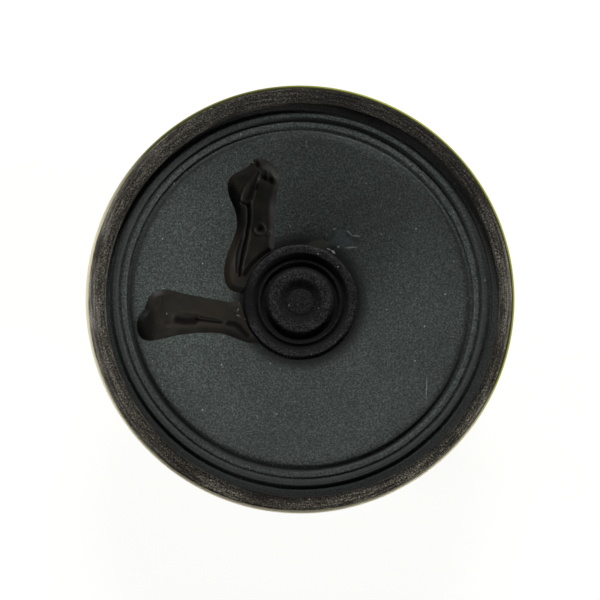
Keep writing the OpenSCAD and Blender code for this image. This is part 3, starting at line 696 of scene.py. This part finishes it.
edge_in_r, edge_out_r = reach("surround")
pleat_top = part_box("surround")[1].z
groove_r, groove_z = edge_in_r + 0.36 * mm, cone_edge_z - 0.75 * mm
inner_r, inner_z = edge_in_r + 1.1 * mm, flange_z
trough_r, trough_z = edge_in_r + 1.78 * mm, flange_z - 0.2 * mm
outer_r = edge_in_r + 2.55 * mm
crease_r, crease_z = flange_in_r + 0.44 * mm, flange_z + 0.12 * mm
landing_z = flange_z + 0.33 * mm
edge_t = 0.22 * mm
top = [(edge_in_r, line[-1][1]), (edge_in_r + 0.12 * mm, groove_z + 0.08 * mm)]
top += smooth_line([
    (groove_r, groove_z), (inner_r - 0.22 * mm, inner_z - 0.05 * mm),
    (inner_r + 0.31 * mm, inner_z), (trough_r, trough_z),
    (outer_r - 0.25 * mm, pleat_top - 0.08 * mm), (outer_r + 0.15 * mm, pleat_top),
    (crease_r, crease_z), (crease_r + 0.24 * mm, landing_z)], 6)
landing_steps = 10
landing_r, landing_w = top[-1][0], edge_out_r - top[-1][0]
top += [(landing_r + landing_w * (i + 1) / landing_steps, landing_z)
        for i in range(landing_steps)]
under = [(r, max(z - edge_t, flange_z) if r > flange_in_r else z - edge_t) for r, z in top]
edge = turn("pleated_edge", top + under[::-1] + [top[0]], 420)


def uneven(place):
    """The wander of pressed pleats, which dies away at the landing."""
    r = place.xy.length
    free = between((crease_r - r) / (0.6 * mm)) * between((r - edge_in_r) / (0.3 * mm))
    lift = noise.noise(place / (5 * mm)) * 0.05 * mm + noise.noise(place / (1.1 * mm)) * 0.02 * mm
    wander = noise.noise(place / (6 * mm) + Vector((5, 0, 0))) * 0.07 * mm
    oval = pressed_oval(place) * between((crease_r + 0.6 * mm - r) / (0.4 * mm))
    return oval + free * (outward(place) * wander + Vector((0, 0, lift - 0.03 * mm)))


moved(edge, uneven)

# Painted shade darkens it by radius, most in the groove by the cone and more on the lower side,
# in the trough between the pleats towards the top, and on the outer pleat towards the lower right
# and the upper left. The landing is brown with glue, the brown stronger towards the top.
doped, place = new_material("doped_paper_pulp")
tone, height = felted(doped, place, "#1b2020", "#3c4341", "#646c68", "#6e7573", "#8a8f8f")
landing_glue = by_radius(doped, place, [(26, 0), (28.6, 0), (29.2, 1), (32.4, 1)])
upward = (0.34, 0.94, 0)
brown = add(doped, "Mix", {0: fading(doped, place, upward, -12, 18, 0.08, 0.55), 6: tone,
                           7: linear("#2a2521")}, data_type="RGBA")
tone = add(doped, "Mix", {0: landing_glue, 6: tone, 7: brown}, data_type="RGBA")
# Painted shade by radius, most in the groove by the cone, more on the lower side.
painted_shade = by_radius(doped, place, [
    (26, 0.4), (26.35, 0.25), (26.6, 0.45), (26.9, 0.72), (27.35, 0.72), (27.8, 0.6), (28.1, 0.44),
    (29.1, 0.44), (29.33, 0.5), (29.6, 0.44), (32.4, 0.44)])
tone = darkened(doped, tone, painted_shade, fading(doped, place, upward, -27, 27, 1, 0.2))
# Painted shade in the trough between the pleats, more towards the top.
painted_pleat_shade = by_radius(doped, place, [(27.4, 1), (27.7, 0.35), (28, 0.5), (28.3, 1)])
tone = darkened(doped, tone, painted_pleat_shade, fading(doped, place, upward, -10, 24))
# Painted shade on the outer pleat, towards the lower right and the upper left.
aside = add(doped, "VectorMath", {0: place, 1: (0.88, -0.47, 0)}, operation="DOT_PRODUCT")
aside = add(doped, "Math", {0: aside}, operation="ABSOLUTE")
cover = add(doped, "MapRange", {0: aside, 1: 12 * mm, 2: 25 * mm})
painted_pleat_shade = by_radius(doped, place, [(27.8, 1), (28.2, 0.72), (28.8, 0.72), (29.1, 1)])
finish(doped, darkened(doped, tone, painted_pleat_shade, cover), 0.8, height, 0.09 * mm, 0.9,
       {"Specular IOR Level": 0.35})
flexing(edge)
dress(edge, doped, "edge_paper", None, "surround", smooth=60)

# Gasket ring: soft pressed board, die-cut, glued on the landing a little off centre and squeezed
# against the lip. Its face is rough and streaked along the ring, and its cut edges are furry.
# Painted sheen makes its outer part paler at the left and right sides. It is darker towards the
# top, at its upper right edge and at its inner edge, most towards the lower right.
board, place = new_material("pressed_grey_board")
tone, height = felted(board, place, "#090907", "#423f37", "#8b867a", "#827c73", "#b0aa9f")
# Painted sheen: the outer part paler at the left and right sides.
left_sheen = fading(board, place, (-1, 0, 0), 16, 31, 0, 0.58)
right_sheen = fading(board, place, (1, 0, 0), 24, 33, 0, 0.38)
painted_sheen = add(board, "Math", {0: left_sheen, 1: right_sheen}, operation="ADD")
outer = by_radius(board, place, [(30.3, 0.4), (31.4, 0.65), (32.3, 1), (32.8, 1)])
painted_sheen = add(board, "Math", {0: painted_sheen, 1: outer}, operation="MULTIPLY")
sheen_patches = add(board, "TexNoise", {"Vector": place, "Scale": 1 / (7 * mm), "Detail": 4})
sheen_patches = add(board, "MapRange", {0: sheen_patches, 1: 0.3, 2: 0.6})
painted_sheen = add(board, "Math", {0: painted_sheen, 1: sheen_patches}, operation="MULTIPLY")
tone = add(board, "Mix", {0: painted_sheen, 6: tone, 7: linear("#86827c")}, data_type="RGBA")
stains = add(board, "TexNoise", {"Vector": place, "Scale": 1 / (11 * mm), "Detail": 5})
stains = add(board, "ValToRGB", {0: stains}, ramp=[(0.35, "#b4b0ac"), (0.6, "#ffffff")])
tone = darkened(board, tone, stains)
tone = darkened(board, tone, by_radius(board, place, [(30.3, 0.85), (31, 1), (32.8, 1)]))
streak_w = 0.3 * mm
across = add(board, "Math", {0: axis_gap(board, place), 1: 1 / streak_w}, operation="MULTIPLY")
across = add(board, "CombineXYZ", {2: across})
along = add(board, "VectorMath", {0: place, 1: (1, 1, 0)}, operation="MULTIPLY")
along = add(board, "VectorMath", {0: along}, operation="NORMALIZE")
along = add(board, "VectorMath", {0: along, 1: (7, 7, 0), 2: across}, operation="MULTIPLY_ADD")
streaks = add(board, "TexNoise", {"Vector": along, "Scale": 1, "Detail": 3})
tone = darkened(board, tone, add(board, "MapRange", {0: streaks, 1: 0.4, 2: 0.6, 3: 0.5, 4: 1.42}))
# Darker towards the top and at the upper right edge.
tone = darkened(board, tone, fading(board, place, (0.05, 1, 0), 5, 31, 0.95, 0.43))
tone = darkened(board, tone, fading(board, place, (0.7, 0.7, 0), 24, 32, 1, 0.46))
# Darker at the inner edge towards the lower right.
inner_edge_dark = by_radius(board, place, [(30.3, 0.6), (30.9, 0.65), (31.5, 1), (32.4, 1)])
tone = darkened(board, tone, inner_edge_dark, fading(board, place, (0.4, -0.92, 0), 5, 25))
finish(board, tone, 0.8, height, 0.13 * mm, 1, {"Specular IOR Level": 0.12})

low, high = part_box("gasket_ring")
gasket_in_r, gasket_out_r = reach("gasket_ring")
lip_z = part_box("basket")[1].z
squeeze_r = gasket_out_r + 0.16 * mm
board_edge = 0.34 * mm
line = (
    [(gasket_in_r + (gasket_out_r - gasket_in_r) * i / 8, low.z) for i in range(9)]
    + [(gasket_out_r, low.z + 0.35 * mm * i) for i in range(1, 4)]
    + [(squeeze_r, lip_z + 0.06 * mm)]
    + arc(squeeze_r - board_edge, high.z - board_edge - 0.08 * mm, board_edge, 0, 75, 4)
    + [(squeeze_r - board_edge - 0.13 * mm * (i + 0.5), high.z) for i in range(15)]
    + arc(gasket_in_r + 0.25 * mm, high.z - 0.25 * mm, 0.25 * mm, 90, 180, 4)
    + [(gasket_in_r, high.z - 0.25 * mm - 0.25 * mm * i) for i in range(1, 5)])
line.append(line[0])
gasket = turn("gasket_ring_cut", line, 640)
hole_shift = Vector((0.37, -0.18, 0)) * mm


def furry(place):
    """Lumps of pulp on the board's face and a ragged cut edge."""
    r = place.xy.length
    top = between((place.z - low.z) / (high.z - low.z))
    lump = noise.noise(place / (0.55 * mm)) + 0.5 * noise.noise(place / (0.25 * mm))
    slow = noise.noise(place / (4 * mm))
    inner = 1 if r < (gasket_in_r + gasket_out_r) / 2 else -1
    ragged = outward(place) * inner * (abs(lump) * 0.06 + abs(slow) * 0.08) * mm
    crushed = 0.1 * mm * math.exp(-((r - squeeze_r + 0.55 * mm) / (0.15 * mm)) ** 2)
    aside = hole_shift * between((gasket_out_r - r) / (gasket_out_r - gasket_in_r))
    sag = 0.05 * mm * abs(lump) + 0.03 * mm * (1 + slow) + crushed
    return aside + top * (ragged - Vector((0, 0, sag)))


moved(gasket, furry)
dress(gasket, board, "gasket_board", "frame", "gasket_ring", smooth=70)

# Dust cap: black felted paper, pressed to a dish. Its rim is glued on the cone, the end of the
# former prints a thin crest in it, and its crown has a flat dimple. Painted shade darkens its
# dimple and the groove round it, its two moats and the outer edge of its rim.
black, place = new_material("black_felted_paper")
tone, height = felted(black, place, "#070708", "#1d1d1e", "#474649", "#5c5b5f", "#8c8b90")
# Painted shade in the dimple and the groove round it, in both moats, and at the rim's outer edge.
painted_cap_shade = by_radius(black, place, [
    (0, 0.85), (1.9, 0.85), (2.15, 0.5), (3.2, 0.6), (3.9, 0.95), (4.9, 1), (5.4, 0.4),
    (6.28, 0.22), (6.4, 0.72), (6.48, 0.72), (6.6, 0.22), (7.4, 0.25), (7.9, 0.9), (8.9, 1),
    (9.3, 0.4)])
tone = darkened(black, tone, painted_cap_shade)
tone = with_ovals(black, place, tone, [("#08080a", 0.9, -8.5, 0.5, 1.3, 5, 0)])
finish(black, tone, 0.9, height, 0.1 * mm, 1, {"Specular IOR Level": 0.2})

cap_rim_w = 1.4 * mm
cap_rim_in_r = cap_r - cap_rim_w
cap_z = cone_front(cap_r)
cap_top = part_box("dust_cap")[1].z
crest_z = 17.0 * mm
crown_r = 4.6 * mm
dimple_r = 2.1 * mm
moat_z = crest_z - 0.25 * mm
line = smooth_line([
    (cap_r + 0.02 * mm, cap_z - 0.06 * mm), (cap_r - 0.6 * mm, cap_top),
    (cap_rim_in_r, cap_top - 0.1 * mm), (former_out_r + 0.6 * mm, moat_z),
    (former_out_r + 0.05 * mm, crest_z), (former_out_r - 0.1 * mm, crest_z - 0.03 * mm),
    (former_out_r - 0.65 * mm, moat_z - 0.4 * mm), (crown_r, cap_z - 0.05 * mm),
    (crown_r - 0.8 * mm, cap_z - 0.07 * mm), (dimple_r, cap_z - 0.85 * mm),
    (dimple_r - 0.25 * mm, cap_z - 0.76 * mm), (0, cap_z - 0.7 * mm)], 7)
cap = turn("dust_cap_pressed", line, 256)


def felt(place):
    """The soft lumps of felt and the wavy glued rim."""
    lump = noise.noise(place / (0.6 * mm)) * 0.035 * mm + noise.noise(place / (3 * mm)) * 0.04 * mm
    rim = between((place.xy.length - cap_rim_in_r) / cap_rim_w)
    wave = noise.noise(place / (2.2 * mm)) * 0.16 * mm
    wave += noise.noise(place / (0.7 * mm)) * 0.07 * mm
    return Vector((0, 0, lump)) + outward(place) * (wave - 0.1 * mm) * rim ** 3


moved(cap, felt)
change(cap, "SOLIDIFY", thickness=0.25 * mm, offset=-1, use_even_offset=False)
dress(cap, black, "cap_felt", "cone_assembly", "dust_cap", smooth=60)

# Neck cement: a bead of dark contact cement behind the cone's neck. The cement is clear brown,
# with painted shade in its hollows and a lighter tan in given strokes, and lint sticks to it.
cement, place = new_material("dark_contact_cement")
flow = add(cement, "TexNoise", {"Vector": place, "Scale": 1 / (2.2 * mm), "Detail": 3})
tone = add(cement, "ValToRGB", {0: flow}, ramp=[(0.3, "#161613"), (0.7, "#1f1d19")])
tan = add(cement, "Attribute", attribute_name="tan").outputs["Fac"]
tone = add(cement, "Mix", {0: tan, 6: tone, 7: linear("#2c2822")}, data_type="RGBA")
# Painted shade in the hollows.
hollow = add(cement, "Attribute", attribute_name="hollow").outputs["Fac"]
tone = add(cement, "Mix", {0: hollow, 6: tone, 7: linear("#070403")}, data_type="RGBA")
# Two ovals are painted glints: the small pale ones at (-20.6, -2.2) and (-7.3, 21.3).
tone = with_ovals(cement, place, tone, [
    ("#6a675f", 0.7, -9.7, -1.3, 0.3, 0.08, 60), ("#66635b", 0.7, -9.7, -2.2, 0.25, 0.1, -20),
    ("#6d6a64", 0.8, -20.6, -2.2, 0.08, 0.14, 0), ("#7a776f", 0.8, -7.3, 21.3, 0.1, 0.08, 0),
    ("#050606", 0.9, -10.1, 15.6, 0.9, 2.4, 12), ("#060605", 0.8, -24, -4, 1.8, 3, 0),
    ("#2e2e29", 0.8, -4.9, 20, 1.1, 1, 0)])
gloss = add(cement, "MapRange", {0: flow, 3: 0.36, 4: 0.5})
matt = add(cement, "MapRange", {0: hollow, 2: 0.6, 4: 0.35})
gloss = add(cement, "Math", {0: gloss, 1: matt}, operation="ADD")
pits = add(cement, "TexNoise", {"Vector": place, "Scale": 1 / (0.5 * mm), "Detail": 2})
finish(cement, tone, gloss, pits, 0.04 * mm, 0.5, {"Specular IOR Level": 0.08})
dress(copy_of("neck_glue", "neck_cement"), cement, "glue", "cone_assembly", "neck_glue")

# Leads and their glue: the coil's two enamelled leads leave under the dust cap, run along the
# cone's front to an eyelet each, and lie under thick strips of the same cement. It is laid on
# tacky, so it keeps ridges from the wire and the brush, and craters where bubbles burst.
for side in ("upper", "left"):
    dressed_copy("coil_lead_" + side, "wire", 0, copper, "copper", "cone_assembly")


def segment_gap(points, start, end):
    """Distances of many points from the stretch between two others."""
    start, along = np.array(start), np.array(end) - np.array(start)
    share = np.clip((points - start) @ along / (along @ along), 0, 1)
    return np.linalg.norm(points - start - share[:, None] * along, axis=1)


def spline(points, steps=5):
    """A closed smooth curve through points."""
    curve = []
    for i in range(len(points)):
        p, q, r, t = (Vector(points[(i + k) % len(points)]) for k in (-1, 0, 1, 2))
        for j in range(steps):
            u = j / steps
            curve.append((2 * q + (r - p) * u + (2 * p - 5 * q + 4 * r - t) * u * u
                          + (3 * q - p - 3 * r + t) * u ** 3) / 2)
    return curve


def stroked(flat, strokes):
    """The sum of soft strokes at many points. A stroke is its rise, half width and points."""
    total = np.zeros(len(flat))
    for rise, width, points in strokes:
        near = np.min([segment_gap(flat, p, q) for p, q in zip(points, points[1:])], axis=0)
        total += rise * np.exp(-(near / width) ** 2)
    return total


def glue_strip(side, outline, ridges, pits, craters, tans):
    """A strip of glue with a smooth outline, domed, with ridges, pits and craters worked into it.
    A crater is its place, radius and depth, in mm."""
    slab = 0.8 * mm
    crater_rim = 0.1
    curve = spline(outline)
    strip = prism("glue_track_" + side + "_poured", [p * mm for p in curve], 0, slab)
    change(strip, "REMESH", mode="VOXEL", voxel_size=0.1 * mm)
    change(strip, "SMOOTH", factor=0.5, iterations=4)
    flat = np.array([v.co.xy for v in strip.data.vertices]) / mm
    to_rim = np.full(len(flat), 9.0)
    for p, q in zip(curve, curve[1:] + curve[:1]):
        if p.length > cap_r / mm + 0.4 and q.length > cap_r / mm + 0.4:
            to_rim = np.minimum(to_rim, segment_gap(flat, p, q))
    rise = np.minimum(to_rim / 1.1, 1)
    dome = rise * (2 - rise) * 0.6 + rise * rise * (3 - 2 * rise) * 0.4
    swell = np.array([noise.noise(Vector((x, y, 0)) / 2.1) for x, y in flat])
    sunk = stroked(flat, pits)
    for x, y, radius, depth in craters:
        gap = np.linalg.norm(flat - (x, y), axis=1)
        sunk += depth * np.exp(-(gap / (0.5 * radius)) ** 2)
        sunk -= crater_rim * np.exp(-((gap - radius) / 0.2) ** 2)
    height = 0.02 + dome * (0.44 + 0.08 * swell + stroked(flat, ridges) - sunk)
    for vertex, up in zip(strip.data.vertices, np.maximum(height, 0.02)):
        front = cone_front(vertex.co.xy.length)
        vertex.co.z = front - 0.06 * mm + min(vertex.co.z / slab, 1) * (up + 0.06) * mm
    strip.data.update()
    for name, values in (("hollow", sunk / 0.2), ("tan", stroked(flat, tans))):
        layer = strip.data.attributes.new(name, "FLOAT", "POINT")
        layer.data.foreach_set("value", np.clip(values, 0, 1).astype(np.float32))
    return strip


upper_strip = glue_strip(
    "upper",
    [(-4, 10), (-4, 12.5), (-3.95, 14.5), (-3.7, 16), (-3.3, 17.5), (-3.1, 18.8), (-3.4, 20),
     (-4.2, 21), (-5.2, 21.7), (-6.3, 22), (-7.1, 21.7), (-7.7, 21), (-8.5, 20.4), (-9.5, 19.9),
     (-10.6, 19.2), (-11.1, 18.4), (-11.2, 17.4), (-11, 16.2), (-10.5, 15), (-10.1, 14),
     (-9.85, 12.7), (-9.85, 11.5), (-10.1, 10.5), (-10.6, 9.3), (-11.1, 8), (-11.6, 6.5),
     (-11.85, 5), (-11.8, 3.5), (-11.5, 2.6), (-10.8, 1.8), (-10, 1.5), (-9.2, 1.5), (-8.6, 2.5),
     (-7.6, 4.6), (-5.6, 6.9), (-4.2, 8)],
    [(0.1, 0.16, [(-7.7, 15.3), (-7.5, 14), (-7.6, 13), (-7.7, 12), (-7.9, 11), (-8, 10),
                  (-8.2, 9), (-8.4, 8), (-8.7, 7), (-8.95, 6), (-9.1, 5.2)]),
     (0.14, 0.2, [(-6.2, 19.8), (-6.6, 18.9), (-6.9, 17.7), (-7.2, 16.4), (-7.6, 15.3)]),
     (0.16, 0.16, [(-6.4, 20), (-7.4, 19), (-8, 18.3), (-8.7, 17.4), (-9.1, 16.5), (-9.25, 15.6)]),
     (0.12, 0.9, [(-5.8, 17.5), (-6, 14), (-6.2, 9.5)]),
     (0.2, 0.5, [(-5.8, 20.3), (-4.8, 19.9), (-4.2, 19)]),
     (0.14, 0.16, [(-5.1, 20), (-5.1, 19.2)]),
     (0.1, 0.6, [(-10.7, 8), (-11, 6), (-11, 4)])],
    [(0.3, 0.2, [(-8.1, 14.6), (-8.05, 13), (-8.1, 12), (-8.3, 11), (-8.4, 10), (-8.7, 9),
                 (-8.95, 8), (-9.15, 7), (-9.3, 6), (-9.5, 5), (-9.5, 4)]),
     (0.14, 0.15, [(-9.3, 9.4), (-9.8, 8), (-9.95, 7), (-10, 5.5), (-10, 4.5)]),
     (0.16, 0.5, [(-7.6, 17.3), (-8, 16.4), (-8.3, 15.7)]),
     (0.2, 0.2, [(-9, 15.1), (-8.2, 14.8)]), (0.3, 0.35, [(-5.8, 19), (-5.6, 18.8)]),
     (0.22, 0.5, [(-4.7, 18.6), (-4.5, 18.4)]), (0.25, 0.3, [(-6.7, 21.2), (-6.6, 20.7)]),
     (0.2, 0.16, [(-6.7, 17.9), (-6.9, 17.2)]),
     (0.35, 0.3, [(-5, 8), (-5.9, 7.4), (-6.8, 6.6), (-7.6, 5.8), (-8.3, 4.9), (-8.7, 4.2)])],
    [(-6.35, 11.2, 0.85, 0.3), (-4.9, 10.6, 0.25, 0.1)],
    [(0.9, 0.9, [(-10.5, 9.5), (-11.1, 7), (-11.2, 5), (-10.9, 3)]),
     (0.4, 1.2, [(-6.4, 10), (-7.2, 7.5)]), (0.35, 0.3, [(-8, 18), (-7, 16.5)])])
left_strip = glue_strip(
    "left",
    [(-9.5, 0), (-11, -0.1), (-12.5, 0.15), (-14, 0.35), (-16, 0.7), (-17.8, 1), (-19.5, 1.4),
     (-21, 1.6), (-22.2, 1.3), (-23, 0.7), (-23.6, -0.4), (-24, -1.5), (-24.7, -2.5),
     (-25.1, -3.3), (-25.15, -4.3), (-24.9, -5.3), (-24.3, -6.1), (-23.3, -6.4), (-22, -6.25),
     (-20.5, -5.9),
     (-19, -5.5), (-17.5, -5.25), (-16, -5.05), (-14.5, -5), (-13, -5), (-11.8, -5.15),
     (-10.5, -5.6), (-9, -6.2), (-7.7, -6.5), (-6.6, -6.2), (-8, -4.2), (-9, -1.5)],
    [(0.1, 0.2, [(-20.3, -2.4), (-18, -1.9), (-16, -2.1), (-15, -2.5), (-13, -2.8)]),
     (0.1, 0.4, [(-20.3, -4.4), (-17, -4.1), (-13, -3.9)]),
     (0.1, 0.4, [(-20.4, -5.8), (-19.8, -5.7)]),
     (0.12, 1.2, [(-23, -4), (-21, -1)]), (0.15, 0.3, [(-10.1, -1.6), (-9.6, -2.2)])],
    [(0.25, 0.55, [(-19.1, -3.2), (-17.8, -3.4), (-16.4, -3.3)]),
     (0.06, 0.5, [(-19, -2.6), (-16.5, -2.6)]),
     (0.22, 0.22, [(-16.2, -3.05), (-14.5, -3.2), (-13, -3.35), (-12.3, -3.4)]),
     (0.12, 0.12, [(-15.5, -2.6), (-14, -2.8), (-12.8, -2.95)]),
     (0.26, 0.42, [(-11.2, -3.5), (-10.3, -3.6), (-9.6, -4), (-8.9, -4.8), (-8.3, -5.4)]),
     (0.08, 0.14, [(-21.4, 0.2), (-21.5, -0.7), (-22.3, -1.5)]),
     (0.08, 0.4, [(-20.9, -3.6), (-20.5, -3.7)])],
    [],
    [(0.42, 3, [(-19, -2), (-11, -2)]), (0.3, 0.5, [(-20.3, -4.3), (-17, -4), (-13, -3.9)])])
for side, strip in (("upper", upper_strip), ("left", left_strip)):
    dress(strip, cement, "glue", "cone_assembly", "glue_track_" + side, smooth=80)

# Cone eyelets: tubular brass, clinched through the cone and filled with solder.
# Rubbed brass: yellow and bright where it is clean, brown and duller where it is tarnished.
brass, place = new_material("rubbed_brass")
tarnish = add(brass, "TexNoise", {"Vector": place, "Scale": 1 / (0.8 * mm), "Detail": 4})
tone = add(brass, "ValToRGB", {0: tarnish}, ramp=[(0.3, "#8f6f35"), (0.7, "#cdac64")])
gloss = add(brass, "MapRange", {0: tarnish, 3: 0.45, 4: 0.25})
finish(brass, tone, gloss, looks={"Metallic": 1})
dressed_copy("cone_eyelets", "clinched", 0.05 * mm, brass, "brass", "cone_assembly")

# Terminal board: a slip of brown paper-base laminate, punched, and riveted on a raised pad of one
# spoke. It carries two tinned brass lugs, each clinched with an eyelet and soldered.
# Laminate: red-brown, mottled by its paper, with the low gloss of its pressed face.
laminate, place = new_material("paper_base_phenolic_laminate")
grain = add(laminate, "TexNoise", {"Vector": place, "Scale": 1 / (0.7 * mm), "Detail": 5,
                                   "Roughness": 0.7})
tone = add(laminate, "ValToRGB", {0: grain}, ramp=[(0.3, "#4a2a15"), (0.7, "#7a4a27")])
finish(laminate, tone, 0.38, grain, 0.02 * mm, 0.5, {"IOR": 1.55})
dressed_copy("terminal_board", "punched", 0.06 * mm, laminate, "phenolic", "frame")

# Hot tin: a pale, warm grey, with the soft waves in which it set.
tinned, place = new_material("hot_tinned_brass")
flow = add(tinned, "TexNoise", {"Vector": place, "Scale": 1 / (1.4 * mm), "Detail": 3})
tone = add(tinned, "ValToRGB", {0: flow}, ramp=[(0.3, "#9c9b96"), (0.7, "#c9c8c3")])
gloss = add(tinned, "MapRange", {0: flow, 3: 0.22, 4: 0.42})
finish(tinned, tone, gloss, flow, 0.05 * mm, 0.5, {"Metallic": 1})
for side in ("upper", "left"):
    dressed_copy("terminal_lug_" + side, "tinned", 0.06 * mm, tinned, "tinned_brass", "frame")
    dressed_copy("lug_solder_" + side, "set", 0, tinned, "solder", "frame")
dressed_copy("lug_eyelets", "clinched", 0.05 * mm, brass, "brass", "frame")
dressed_copy("board_rivet", "clenched", 0.06 * mm, yellow, "zinc_steel", "frame")

# Tinsel leads: copper foil braided over thread. Each bows from its cone eyelet to its lug, and
# flexes with the cone.
# Tinsel braid: dull copper, with dark gaps where its strands cross.
braid, place = new_material("copper_tinsel_braid")
plait = add(braid, "TexVoronoi", {"Vector": place, "Scale": 1 / (0.28 * mm)})
tone = add(braid, "ValToRGB", {0: plait}, ramp=[(0.1, "#c98a55"), (0.6, "#5a3319")])
relief = add(braid, "Bump", {"Height": plait, "Distance": 0.1 * mm}, invert=True)
finish(braid, tone, 0.4, looks={"Metallic": 0.85, "Normal": relief})
for side in ("upper", "left"):
    node = "tinsel_lead_" + side
    lead = copy_of(node, node + "_braided")
    change(lead, "SUBSURF", levels=2, render_levels=2)
    low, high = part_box(node)
    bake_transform(lead)
    dress(lead, braid, "tinsel", None, node, smooth=80)
